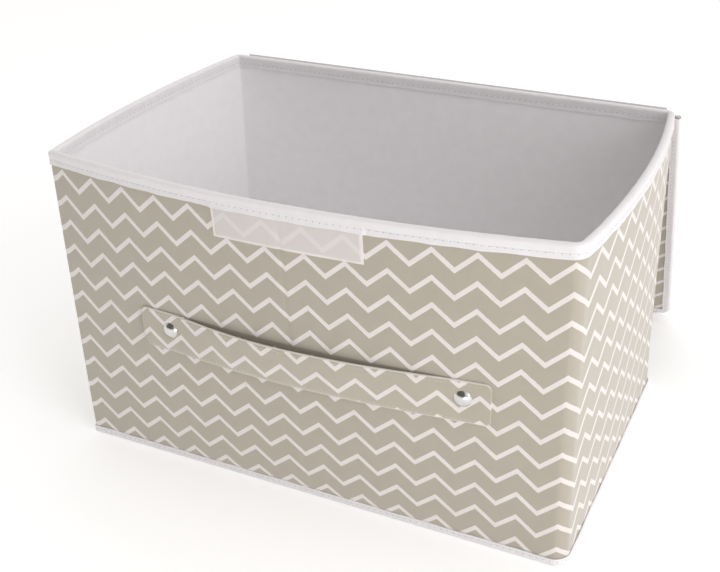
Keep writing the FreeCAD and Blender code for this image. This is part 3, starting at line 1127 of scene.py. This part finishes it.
class PointStation:
    """A point of the front wall; its height is its own and not the profile's."""

    def __init__(self, along, z):
        self.along = along
        self.z = z
        self.u = 0.0

    def at(self, inset, height):
        out = wall_out("front", self.along, inset, self.z + height)
        return wall_point("front", self.along, out, self.z + height)


def measure(path):
    """Gives each station of a path its distance along it."""
    run = 0.0
    before = path[0].at(0.0, 0.0)
    for station in path:
        here = station.at(0.0, 0.0)
        run += (here - before).length
        station.u = run
        before = here


# ---------------------------------------------------------------- handle strap


STRAP_THICK = 2.2 * MM
STRAP_HALF = (STRAP_HIGH - STRAP_LOW) / 2
STRAP_MIDDLE = (STRAP_HIGH + STRAP_LOW) / 2
STRAP_STAND_TOP = 5.2 * MM
STRAP_STAND_LOW = 1.6 * MM
STRAP_SAG = 1.6 * MM
STRAP_STAND_X = -12 * MM
STRAP_CURL = 0.5 * MM
STRAP_PRINT_U = 6.0 * MM
STRAP_PRINT_STRETCH = 1.019
STRAP_PRINT_V = 11.2 * MM
STRAP_PRINT_SLOPE = 0.027
PIPING = 0.8 * MM
TAB_BACK = 3.2 * MM
TAB_CORNER = 4 * MM


def strap_lift(x):
    """Share of its slack that the strap stands off the wall; none beyond the rivets."""
    away = x + STRAP_X - STRAP_STAND_X
    reach = abs(RIVET_X[1 if away > 0 else -1] - STRAP_STAND_X)
    share = min(1.0, abs(away) / reach)
    return (1 - share * share) ** 1.35


def strap_place(x, across, depth):
    """A point of the strap: x runs from its middle, and across from -1 at its lower edge to 1."""
    along = x + STRAP_X
    lift = strap_lift(x)
    share = (across + 1) / 2
    stand = lift * (STRAP_STAND_LOW + (STRAP_STAND_TOP - STRAP_STAND_LOW) * share)
    stand += STRAP_CURL * lift * (1 - across * across)
    tilt = (STRAP_STAND_TOP - STRAP_STAND_LOW) * lift / (2 * STRAP_HALF)
    z = STRAP_MIDDLE + across * STRAP_HALF * math.sqrt(1 - tilt * tilt) - STRAP_SAG * lift
    to_rivet = math.hypot(along - RIVET_X[1 if x > 0 else -1], z - RIVET_Z)
    dimple = 0.45 * MM * math.exp(-((to_rivet / (9 * MM)) ** 2))
    buckle = 0.35 * MM * math.sin(x / 0.011 + 1.3 * across) * (1 - across * across)
    bow = BOW["front"] * bow_growth(z) * (1 - from_middle("front", along) ** 2)
    out = HALF_Y - COVER_IN + bow + 0.12 * MM + stand + depth
    if depth > 0:
        out += (buckle - dimple) * (depth / STRAP_THICK)
    return wall_point("front", along, out, z)


def tab_narrowing(x):
    """How much the rounded corners at the strap's ends take off its half height."""
    over = abs(x) - (STRAP_REACH - TAB_CORNER)
    if over <= 0:
        return 0.0
    over = min(over, TAB_CORNER * 0.999)
    return TAB_CORNER - math.sqrt(TAB_CORNER**2 - over**2)


def strap_section(x, back):
    """The band's outline at x: (across, depth), round its front face and back again."""
    half = STRAP_HALF - PIPING * 0.6 - tab_narrowing(x)
    section = []
    for share in spread(-1, 1, 25):
        edge = half * (1 - abs(share)) + PIPING * 0.6
        groove = 0.55 * math.exp(-(((edge - 2.7 * MM) / (0.55 * MM)) ** 2))
        crown = 1 - 0.35 * smooth_step(2.4 * MM, 0.8 * MM, edge) - 0.22 * groove
        section.append((share * half / STRAP_HALF, STRAP_THICK * crown))
    for share in spread(1, -1, 13):
        section.append((share * half / STRAP_HALF, back))
    return section


def make_strap():
    for side, sign in (("left", -1), ("right", 1)):
        tab_x = [sign * x for x in spread(STRAP_END_X, STRAP_REACH - TAB_CORNER, 20)]
        turns = [math.sin(math.pi / 2 * i / 7) for i in range(1, 8)]
        tab_x += [sign * (STRAP_REACH - TAB_CORNER * (1 - turn)) for turn in turns]
        tab = strap_band("strap_end_" + side, tab_x, -TAB_BACK)
        finish_piece(tab, "bin", "printed_fabric", "handle_end_" + side)

        grip_x = [sign * x for x in spread(STRAP_END_X, 0.0, 49)]
        grip = strap_band("strap_grip_" + side, grip_x, 0.0)
        finish_piece(grip, None, "printed_fabric", "handle_grip")
        blend_strap(grip, sign)

        edge_x = spread(STRAP_END_X, STRAP_REACH - TAB_CORNER, 14)
        path = [(sign * x, -1, 0) for x in edge_x]
        path += [(sign * STRAP_REACH, -1, turn) for turn in spread(0, 1, 8)[1:]]
        path += [(sign * STRAP_REACH, 1, turn) for turn in spread(1, 0, 8)[:-1]]
        path += [(sign * x, 1, 0) for x in reversed(edge_x)]
        tab_edge = piping("strap_end_piping_" + side, path)
        finish_piece(tab_edge, "bin", "binding_tape")
        for edge, across in (("upper", 1), ("lower", -1)):
            path = [(x, across, 0) for x in grip_x]
            rope = piping("strap_piping_" + edge + "_" + side, path)
            finish_piece(rope, None, "binding_tape")
            blend_strap(rope, sign)
            name = "strap_thread_" + edge + "_" + side
            thread = stitch_row(name, strap_stitches(grip_x, across), THREAD, 2.2 * MM, 0.17 * MM)
            finish_piece(thread, None, "printed_fabric")
            blend_strap(thread, sign)
            name = "strap_end_thread_" + edge + "_" + side
            thread = stitch_row(name, strap_stitches(tab_x[:20], across), THREAD, 2.2 * MM, 0.17 * MM)
            finish_piece(thread, "bin", "printed_fabric")


def blend_strap(piece, sign):
    """Bakes the piece's placement into its mesh, in its resting place; nothing here makes the strap's
    middle move with the grip while its ends stay on the wall.
    """
    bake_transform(piece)


def strap_band(name, places, back):
    points = []
    uvs = []
    for x in places:
        for across, depth in strap_section(x, back):
            points.append(strap_place(x, across, depth))
            along = x + STRAP_X
            v = STRAP_MIDDLE + across * STRAP_HALF - STRAP_PRINT_V - STRAP_PRINT_SLOPE * along
            uvs.append((STRAP_PRINT_STRETCH * along - STRAP_PRINT_U, v))
    return loft(name, points, uvs, len(points) // len(places), STRAP_PRINT, 50)


def piping(name, path):
    """The round cord sewn into the strap's edge; path is (x, edge, share of the corner's turn)."""
    centres = []
    for x, edge, turn in path:
        if abs(x) >= STRAP_REACH - 1e-9:
            angle = math.pi / 2 * turn
            inner = TAB_CORNER - PIPING
            x = math.copysign(STRAP_REACH - TAB_CORNER + inner * math.sin(angle), x)
            height = STRAP_HALF - TAB_CORNER + inner * math.cos(angle)
        else:
            height = STRAP_HALF - PIPING
        centres.append(strap_place(x, edge * height / STRAP_HALF, PIPING))
    return tube(name, centres, PIPING, PIPE, Vector((0, -1, 0)), 10)


def tube(name, centres, radius, material, hint, sides):
    points = []
    uvs = []
    run = 0.0
    for i, centre in enumerate(centres):
        before = centres[max(0, i - 1)]
        after = centres[min(len(centres) - 1, i + 1)]
        axis = (after - before).normalized()
        side = axis.cross(hint).normalized()
        up = side.cross(axis)
        run += (centre - before).length
        for j in range(sides):
            turn = 2 * math.pi * j / sides
            points.append(centre + (side * math.cos(turn) + up * math.sin(turn)) * radius)
            uvs.append((run, radius * turn))
    return loft(name, points, uvs, sides, material, 60)


def strap_stitches(places, across):
    """Fine stitches in the groove beside the strap's piping."""
    edge = across * (1 - 2.7 * MM / STRAP_HALF)
    pitch = 3.2 * MM
    low = min(abs(places[0]), abs(places[-1]))
    high = max(abs(places[0]), abs(places[-1]))
    sign = 1 if places[0] + places[-1] > 0 else -1
    stitches = []
    for i in range(int((high - low) / pitch)):
        x = sign * (low + (i + 0.15) * pitch)
        end_x = x + sign * 2.2 * MM
        start = strap_place(x, edge, STRAP_THICK * 0.84)
        end = strap_place(end_x, edge, STRAP_THICK * 0.84)
        stitches.append((start, end, Vector((0, -1, 0))))
    return stitches


# ---------------------------------------------------------------- rivets


def lathe(name, profile, centre, axis, material, sides=40):
    """Turns (radius, height) points about an axis through centre."""
    side = axis.cross(Vector((0, 0, 1))).normalized()
    up = side.cross(axis)
    points = []
    uvs = []
    for radius, height in profile:
        for j in range(sides):
            turn = 2 * math.pi * j / sides
            offset = side * math.cos(turn) + up * math.sin(turn)
            points.append(centre + axis * height + offset * radius)
            uvs.append((radius, turn * 0.01))
    return loft(name, points, uvs, sides, material, 35)


def make_rivets():
    dome = 2.9 * MM
    for side, sign in (("left", -1), ("right", 1)):
        x = RIVET_X[sign] - STRAP_X
        across = (RIVET_Z - STRAP_MIDDLE) / STRAP_HALF
        step = 1 * MM
        before = strap_place(x - step, across, STRAP_THICK)
        along = strap_place(x + step, across, STRAP_THICK) - before
        normal = Vector((0, 0, 1)).cross(along).normalized()
        seat = strap_place(x, across, STRAP_THICK)
        if normal.y > 0:
            normal = -normal
        profile = [(0.1 * MM, dome)]
        ball = (RIVET_RADIUS**2 + (dome - 0.45 * MM) ** 2) / (2 * (dome - 0.45 * MM))
        for radius in spread(0.5 * MM, RIVET_RADIUS, 12):
            profile.append((radius, dome - ball + math.sqrt(ball**2 - radius**2)))
        profile += [
            (RIVET_RADIUS, 0.42 * MM),
            (RIVET_RADIUS * 1.01, 0.2 * MM),
            (RIVET_RADIUS * 0.99, 0.0),
            (RIVET_RADIUS * 0.93, -0.12 * MM),
            (1.5 * MM, -0.12 * MM),
            (1.5 * MM, -TAB_BACK),
        ]
        cap = lathe("rivet_cap_" + side, profile, seat, normal, METAL)
        finish_piece(cap, "bin", "rivet_metal", "rivets")

        out = wall_out("front", RIVET_X[sign], LINING_IN + FABRIC, RIVET_Z)
        inside = wall_point("front", RIVET_X[sign], out, RIVET_Z)
        radius = 5 * MM
        washer = [
            (1.6 * MM, 0.55 * MM),
            (2.3 * MM, 0.95 * MM),
            (3.2 * MM, 0.9 * MM),
            (radius * 0.9, 0.62 * MM),
            (radius, 0.35 * MM),
            (radius, 0.05 * MM),
            (1.6 * MM, -0.2 * MM),
        ]
        back = lathe("rivet_back_" + side, washer, inside, -normal, METAL)
        finish_piece(back, "bin", "rivet_metal", "rivet_backs")
        flatten_with_lid(back)


# ---------------------------------------------------------------- base insert


def make_insert():
    half_x = INSERT_BOX[1].x
    half_y = INSERT_BOX[1].y
    low_z = INSERT_BOX[0].z
    high_z = INSERT_BOX[1].z
    middle = (low_z + high_z) / 2
    radius = 5 * MM
    columns = edge_spread(half_x, 9 * MM, 13, 75)
    rows = edge_spread(half_y, 9 * MM, 13, 49)
    seam = 1.0 * MM

    def sheet(face):
        reach = (high_z - low_z) / 2 - FABRIC

        def place(x, y, top):
            edge = min(half_x - abs(x), half_y - abs(y))
            x, y = round_corner(x, y, half_x, half_y, radius)
            swell = smooth_step(0.2 * MM, 1.7 * MM, edge)
            wave = math.sin(x / 0.041 + 0.5) * math.sin(y / 0.037) + math.sin((x + y) / 0.023)
            pucker = math.sin((x + y) / 0.0031) * math.exp(-(edge - seam) / (4 * MM))
            rise = face * (0.1 * MM + reach * swell)
            if face > 0:
                rise += (0.22 * MM * (wave + 2) + 0.12 * MM * pucker) * smooth_step(0, 6 * MM, edge)
            rise += FABRIC * face if (top == (face > 0)) else 0.0
            return Vector((x, y, middle + rise))

        return place

    for name, node, face in (
        ("insert_slip_bottom_look", "insert_slip_bottom", -1),
        ("insert_slip_top_look", "insert_slip_top", 1),
    ):
        piece = sheet_on_grid(name, columns, rows, sheet(face), same_uv, LINING)
        finish_piece(piece, "base_insert", "white_nonwoven", node)

    top = sheet(1)
    inset = 3.2 * MM
    path = []
    for x in spread(-half_x + radius, half_x - radius, 90):
        path.append((x, -half_y + inset))
    for y in spread(-half_y + radius, half_y - radius, 60):
        path.append((half_x - inset, y))
    for x in spread(half_x - radius, -half_x + radius, 90):
        path.append((x, half_y - inset))
    for y in spread(half_y - radius, -half_y + radius, 60):
        path.append((-half_x + inset, y))
    thread = stitch_row("insert_thread", stitches_on(top, path), THREAD)
    finish_piece(thread, "base_insert", "white_nonwoven")


def stitches_on(place, path):
    """Stitches along a list of plane points, on the upper face that place gives."""
    marks = []
    run = 0.0
    before = Vector(path[0])
    for point in path:
        here = Vector(point)
        run += (here - before).length
        marks.append((run, here))
        before = here
    places = []
    index = 0
    gap = (STITCH_PITCH - STITCH_LENGTH) / 2
    for i in range(int(run / STITCH_PITCH)):
        ends = []
        for u in (i * STITCH_PITCH + gap, i * STITCH_PITCH + gap + STITCH_LENGTH):
            while index < len(marks) - 2 and marks[index + 1][0] < u:
                index += 1
            low, high = marks[index], marks[index + 1]
            flat = low[1].lerp(high[1], (u - low[0]) / max(1e-9, high[0] - low[0]))
            ends.append(place(flat.x, flat.y, True))
        places.append((ends[0], ends[1], Vector((0, 0, 1))))
    return places


# ---------------------------------------------------------------- lid and flap


LID_NARROW = 0.8 * MM
LID_CORNER = 9 * MM
FLAP_CORNER = 7 * MM
LID_TAPE = 7 * MM
FLAP_TAPE = 7 * MM
FLAP_START = 1.4 * MM
FLAP_IN = -1.4 * MM
FLAP_OUT = 1.6 * MM
LOOP_AWAY = 10.6 * MM
LOOP_WIDTH = 22 * MM


def panel(name, place, half, start, length, radius, level, uv, material):
    """A sheet with two round corners at its free edge; level gives the height of each face."""
    columns = edge_spread(half, 8 * MM, 7, 89)
    near = spread(start, start + 8 * MM, 7)
    far = spread(length - 8 * MM, length, 7)
    count = max(3, round((length - start) / (4.2 * MM)))
    rows = near[:-1] + spread(start + 8 * MM, length - 8 * MM, count) + far[1:]

    def turned(x, s):
        return round_corner(x, max(0.0, s), half, length, radius)

    def point(x, s, top):
        x, s = turned(x, s)
        return place(x, level(x, s, top), s)

    def cloth(x, s):
        return uv(*turned(x, s))

    return sheet_on_grid(name, columns, rows, point, cloth, material)


def panel_waves(x, s):
    """Slack of the fabric on a panel: from 0 to 1."""
    wave = math.sin(x / 0.043 + 1.1) * math.sin(s / 0.037) + 0.6 * math.sin((x - 1.7 * s) / 0.029)
    return 0.5 + 0.3 * wave


def make_lid():
    half = LID_HALF - LID_NARROW
    end = LID_LENGTH - LID_NARROW
    start = LID_START + 0.3 * MM

    def inside(x, s):
        return min(half - abs(x), end - s)

    def slack(x, s):
        return 0.55 * MM * panel_waves(x, s) * smooth_step(LID_TAPE, 3 * LID_TAPE, inside(x, s))

    def pinch(s):
        return 1 - smooth_step(start, start + 4 * MM, s)

    def outer_level(x, s, top):
        rise = slack(x, s) * (1 - pinch(s)) - 1.7 * MM * pinch(s)
        return 3.8 * MM + rise + (FABRIC if top else 0.0)

    def inner_level(x, s, top):
        drop = slack(-x, s + 0.05) * (1 - pinch(s)) * 0.8
        return 0.8 * MM - drop + (FABRIC if top else 0.0)

    def uv(x, s):
        return x, LID_LENGTH - s

    span = (half, start, end, LID_CORNER)
    cover = panel("lid_cover", lid_place, *span, outer_level, uv, PRINTED)
    finish_piece(cover, "lid", "printed_fabric", "lid_outer_fabric")
    lining = panel("lid_lining_look", lid_place, *span, inner_level, uv, LINING)
    finish_piece(lining, "lid", "white_nonwoven", "lid_lining")

    stations = edge_stations(lid_place, LID_HALF, LID_START, LID_LENGTH, LID_CORNER, STITCH_PITCH / 4)
    profile = edge_profile(0.0, STACK, LID_TAPE)
    stitch = LID_TAPE - 2.2 * MM
    material = edge_tape(LID_TAPE, stitch)
    tape = sweep_tape("lid_tape", stations, profile, material, edge_relief(stitch, LID_TAPE))
    names = ["lid_binding_left", "lid_binding_right", "lid_binding_front"]
    finish_piece(tape, "lid", "binding_tape", *names)
    thread = stitch_row("lid_thread", edge_stitches(stations, stitch, 0.0, STACK), THREAD)
    finish_piece(thread, "lid", "binding_tape")


def make_flap():
    half = FLAP_HALF - LID_NARROW
    end = FLAP_LENGTH - LID_NARROW

    def inside(x, t):
        return min(half - abs(x), end - t)

    def slack(x, t):
        return 0.35 * MM * panel_waves(x, t) * smooth_step(FLAP_TAPE, 2.4 * FLAP_TAPE, inside(x, t))

    def outer_level(x, t, top):
        near_fold = 1 - smooth_step(FLAP_START, FLAP_START + 6 * MM, t)
        rise = slack(x, t) + 0.12 * MM * near_fold
        return 0.2 * MM + rise + (FABRIC if top else 0.0)

    def inner_level(x, t, top):
        near_fold = 1 - smooth_step(FLAP_START, FLAP_START + 6 * MM, t)
        drop = 0.5 * slack(-x, t + 0.03) + 0.22 * MM * near_fold
        return -FABRIC - drop + (FABRIC if top else 0.0)

    def uv(x, t):
        return x, -t

    span = (half, FLAP_START, end, FLAP_CORNER)
    cover = panel("flap_cover", flap_place, *span, outer_level, uv, PRINTED)
    finish_piece(cover, "lid_flap", "printed_fabric", "flap_outer_fabric")
    lining = panel("flap_lining_look", flap_place, *span, inner_level, uv, LINING)
    finish_piece(lining, "lid_flap", "white_nonwoven", "flap_lining")

    step = STITCH_PITCH / 4
    stations = edge_stations(flap_place, FLAP_HALF, FLAP_START, FLAP_LENGTH, FLAP_CORNER, step)
    profile = edge_profile(FLAP_IN, FLAP_OUT, FLAP_TAPE)
    stitch = FLAP_TAPE - 2.0 * MM
    material = edge_tape(FLAP_TAPE, stitch)
    tape = sweep_tape("flap_tape", stations, profile, material, edge_relief(stitch, FLAP_TAPE))
    names = ["flap_binding_left", "flap_binding_right", "flap_binding_end"]
    finish_piece(tape, "lid_flap", "binding_tape", *names)
    thread = stitch_row("flap_thread", edge_stitches(stations, stitch, FLAP_IN, FLAP_OUT), THREAD)
    finish_piece(thread, "lid_flap", "binding_tape")


def edge_tape(width, stitch):
    return tape_fabric("edge_tape_%d" % round(width / MM), WHITE, (stitch,))


def edge_profile(low, high, width):
    """Tape folded round a panel's edge: (inset, height, v, side) from face to face."""
    middle = (low + high) / 2
    reach = (high - low) / 2
    soft = 2.2 * MM
    rows = spread(width, soft, 11)
    outer = [(inset, high, inset, 1) for inset in rows]
    for i in range(1, 10):
        turn = math.pi * i / 10
        outer.append((soft - soft * math.sin(turn), middle + reach * math.cos(turn), 0.0, 0))
    outer += [(inset, low, inset, -1) for inset in reversed(rows)]
    inner = [(inset, low + TAPE, inset, -1) for inset in rows]
    for i in range(1, 8):
        turn = math.pi * i / 8
        bend = (soft - TAPE) * math.sin(turn)
        inner.append((soft - bend, middle - (reach - TAPE) * math.cos(turn), 0.0, 0))
    inner += [(inset, high - TAPE, inset, 1) for inset in reversed(rows)]
    return outer + inner


def edge_relief(stitch, width):
    def relief(u, inset, height, v, side):
        away = (inset - stitch) / (1.4 * MM)
        hole = 0.5 + 0.5 * math.cos(2 * math.pi * u / STITCH_PITCH)
        height -= side * 0.26 * MM * (0.65 + 0.35 * hole) * math.exp(-away * away)
        free = smooth_step(width - 1.5 * MM, width, inset)
        inset += 0.2 * MM * free * math.sin(u / 0.0059 + math.sin(u / 0.021))
        return inset, height

    return relief


def edge_stitches(stations, stitch, low, high):
    """Stitches of a bound edge, on both of its faces."""
    upper = stitches_along(stations, stitch, high - 0.14 * MM, 0.0, 1 * MM)
    lower = stitches_along(stations, stitch, low + 0.14 * MM, 0.0, -1 * MM)
    return upper + lower


def make_loop_tape():
    """Fuzzy loop tape on the flap's inner face."""
    half = (LOOP_BOX[1].x - LOOP_BOX[0].x) / 2
    middle = (LOOP_BOX[0].x + LOOP_BOX[1].x) / 2
    low = FLAP_START + LOOP_AWAY
    high = low + LOOP_WIDTH

    def point(x, t, top):
        edge = min(half - abs(x), t - low, high - t)
        tangle = math.sin(x * 9100 + 5 * math.sin(t * 7300))
        fuzz = 0.5 + 0.5 * tangle * math.sin(t * 8300 + x * 2700)
        pile = (0.45 + 0.5 * fuzz) * MM * smooth_step(0.4 * MM, 1.6 * MM, edge)
        level = -0.82 * MM - (0.15 * MM + pile if top else 0.0)
        return flap_place(middle + x, level, t)

    columns = spread(-half, half, 269)
    rows = spread(low, high, 56)
    piece = sheet_on_grid("loop_tape_look", columns, rows, point, same_uv, LOOP, 180)
    finish_piece(piece, "lid_flap", "loop_tape", "loop_tape")


def ribbon(name, line, half_width, thickness, count, material):
    """A strip across the box whose section follows a line of points, one (y, z) list for each x."""
    points = []
    uvs = []
    for x in spread(-half_width, half_width, count):
        section = line(x)
        run = 0.0
        faces_of = ([], [])
        for i, here in enumerate(section):
            before = section[max(0, i - 1)]
            after = section[min(len(section) - 1, i + 1)]
            along = (after - before).normalized()
            normal = Vector((-along.y, along.x))
            run += (here - before).length
            for side, sign in enumerate((1, -1)):
                p = here + normal * sign * thickness / 2
                faces_of[side].append((Vector((x, p.x, p.y)), run))
        for p, v in faces_of[0] + faces_of[1][::-1]:
            points.append(p)
            uvs.append((x, v))
    return loft(name, points, uvs, len(points) // count, material, 60)


def smooth_line(corners, parts):
    """A curve through the corner points, as evenly parted spans of a Catmull-Rom spline."""
    padded = [2 * corners[0] - corners[1]] + corners + [2 * corners[-1] - corners[-2]]
    line = []
    for i in range(1, len(padded) - 2):
        a, b, c, d = padded[i - 1 : i + 3]
        for j in range(parts):
            t = j / parts
            line.append(
                0.5
                * (
                    2 * b
                    + (c - a) * t
                    + (2 * a - 5 * b + 4 * c - d) * t * t
                    + (3 * b - a - 3 * c + d) * t**3
                )
            )
    line.append(corners[-1].copy())
    return line


def make_hinge_strip():
    """Tape that hangs the lid on the back rim, up one side of the hinge line and down the other."""
    half = min(-SPAN["back"][0], SPAN["back"][1]) + START_SHIFT["back"][0]

    def line(x):
        wall = wall_out("back", -x, 0.0, RIM_STITCH_V) + 0.42 * MM
        corners = [
            Vector((wall, RIM_LOW + 1.6 * MM)),
            Vector((wall, RIM_STITCH_V)),
            Vector((wall, RIM_Z - 1.4 * MM)),
            Vector((HALF_Y + 1.0 * MM, RIM_Z + 0.1 * MM)),
        ]
        for s in (1.4 * MM, 3 * MM, 6 * MM, 10.5 * MM):
            p = lid_place(x, 1.72 * MM, s)
            corners.append(Vector((p.y, p.z)))
        return smooth_line(corners, 4)

    material = tape_fabric("hinge_tape", WHITE, ())
    strip = ribbon("lid_hinge_tape", line, half, 0.55 * MM, 200, material)
    finish_piece(strip, None, "binding_tape", "lid_hinge_strip")
    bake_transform(strip)

    stations = [WallStation("back", along, along) for along in spread(-half, half, 120)]
    places = stitches_along(stations, -0.62 * MM, RIM_STITCH_V)
    thread = stitch_row("hinge_thread", places, THREAD)
    finish_piece(thread, "bin", "binding_tape")


def make_fold_strip():
    """Tape between the lid's free edge and its flap."""
    half = FLAP_HALF - 3 * MM

    def line(x):
        lid_edge = LID_LENGTH + 0.36 * MM
        corners = []
        for n in (4.3 * MM, 2.6 * MM, 0.9 * MM):
            p = lid_place(x, n, lid_edge)
            corners.append(Vector((p.y, p.z)))
        for t in (0.5 * MM, 2.5 * MM, 7 * MM):
            p = flap_place(x, 0.1 * MM, t)
            corners.append(Vector((p.y, p.z)))
        return smooth_line(corners, 4)

    material = tape_fabric("fold_tape", WHITE, ())
    strip = ribbon("lid_fold_tape", line, half, 0.4 * MM, 160, material)
    finish_piece(strip, None, "binding_tape")
    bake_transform(strip)


# ---------------------------------------------------------------- floor, lights and camera


FLOOR_HALF = 16.0
FLOOR_Z = -0.1 * MM
FLOOR_GLOW = 0.2
WORLD_STRENGTH = 0.84
DARK_PATCH_TOWARD = (-0.3, -0.87, 0.3)
DARK_PATCH_OUTER = math.radians(44)
DARK_PATCH_INNER = math.radians(34)
EYE = (0.3192, -0.6919, 0.5228)
EYE_AZIMUTH = math.radians(25.87)
EYE_ELEVATION = math.radians(28.32)
EYE_ROLL = math.radians(-0.99)
EYE_LENS = 55.86

def make_floor():
    material = Nodes("studio_floor", roughness=0.9)
    place = material.node("ShaderNodeTexCoord").outputs["Object"]
    grain = material.noise(place, 3.0, 2.0)
    tone = material.mix(grain, (0.965, 0.965, 0.965), (0.975, 0.975, 0.975))
    material.tree.links.new(tone, material.shader.inputs["Base Color"])
    material.shader.inputs["Emission Color"].default_value = (1, 1, 1, 1)
    material.shader.inputs["Emission Strength"].default_value = FLOOR_GLOW
    half = FLOOR_HALF
    corners = [(-half, -half), (half, -half), (half, half), (-half, half)]
    mesh = bpy.data.meshes.new("floor")
    mesh.from_pydata([(x, y, FLOOR_Z) for x, y in corners], [], [(0, 1, 2, 3)])
    mesh.materials.append(material.material)
    floor = bpy.data.objects.new("floor", mesh)
    bpy.context.scene.collection.objects.link(floor)


def area_light(name, place, target, size, power, colour):
    light = bpy.data.lights.new(name, "AREA")
    light.shape = "RECTANGLE"
    light.size, light.size_y = size
    light.energy = power
    light.color = colour
    lamp = bpy.data.objects.new(name, light)
    lamp.location = place
    aim = Vector(target) - Vector(place)
    lamp.rotation_euler = aim.to_track_quat("-Z", "Y").to_euler()
    bpy.context.scene.collection.objects.link(lamp)


def make_lights():
    world = bpy.data.worlds.new("studio")
    world.use_nodes = True
    tree = world.node_tree
    sky = tree.nodes["Background"]
    sky.inputs["Strength"].default_value = WORLD_STRENGTH
    bpy.context.scene.world = world

    # A dark patch in front of the box, which the rivets mirror.
    toward = Vector(DARK_PATCH_TOWARD).normalized()
    place = tree.nodes.new("ShaderNodeTexCoord")
    facing = tree.nodes.new("ShaderNodeVectorMath")
    facing.operation = "DOT_PRODUCT"
    facing.inputs[1].default_value = toward
    tree.links.new(place.outputs["Generated"], facing.inputs[0])
    shade = tree.nodes.new("ShaderNodeMapRange")
    shade.inputs["From Min"].default_value = math.cos(DARK_PATCH_OUTER)
    shade.inputs["From Max"].default_value = math.cos(DARK_PATCH_INNER)
    tree.links.new(facing.outputs["Value"], shade.inputs["Value"])
    tone = tree.nodes.new("ShaderNodeMix")
    tone.data_type = "RGBA"
    tone.inputs[6].default_value = (1.0, 0.985, 0.97, 1.0)
    tone.inputs[7].default_value = (0.16, 0.15, 0.14, 1.0)
    tree.links.new(shade.outputs["Result"], tone.inputs[0])
    tree.links.new(tone.outputs[2], sky.inputs["Color"])

    area_light("key", (2.1, -0.9, 1.3), (0, 0, 0.12), (1.6, 1.6), 17, (0.985, 0.985, 1.02))
    area_light("top", (0.2, 0.2, 2.4), (0, 0, 0), (1.8, 1.8), 6, (1.0, 0.99, 0.98))
    area_light("low", (0.5, -0.75, 0.05), (0.1, -0.14, 0.06), (0.5, 0.08), 1.1, (1.0, 0.99, 0.98))


def make_camera():
    """Seen from the front right and above, turned a little about its own axis."""
    level = math.cos(EYE_ELEVATION)
    toward_x = math.sin(EYE_AZIMUTH) * level
    toward_y = -math.cos(EYE_AZIMUTH) * level
    back = Vector((toward_x, toward_y, math.sin(EYE_ELEVATION)))
    right = (-back).cross(Vector((0, 0, 1))).normalized()
    up = right.cross(-back)
    rolled_right = right * math.cos(EYE_ROLL) + up * math.sin(EYE_ROLL)
    rolled_up = up * math.cos(EYE_ROLL) - right * math.sin(EYE_ROLL)
    turn = Matrix((rolled_right, rolled_up, back)).transposed()
    camera = bpy.data.cameras.new("camera")
    camera.lens = EYE_LENS
    camera.sensor_width = 36
    camera.clip_start = 0.01
    eye = bpy.data.objects.new("camera", camera)
    eye.matrix_world = Matrix.Translation(EYE) @ turn.to_4x4()
    bpy.context.scene.collection.objects.link(eye)
    bpy.context.scene.camera = eye


# ---------------------------------------------------------------- the whole object


PIPE = plain_fabric("piping_fabric", (0.66, 0.615, 0.55), 0.05, 0.5)

make_floor()
make_covers()
make_linings()
make_boards()
make_bottom()
make_box_bindings()
make_hook_tape()
make_strap()
make_rivets()
make_insert()
make_lid()
make_flap()
make_loop_tape()
make_hinge_strip()
make_fold_strip()
for node in ("insert_board", "lid_board"):
    data = frame["nodes"][node].data
    data.materials.clear()
    data.materials.append(CARD)
make_lights()
make_camera()
bpy.context.scene.view_settings.view_transform = "Standard"
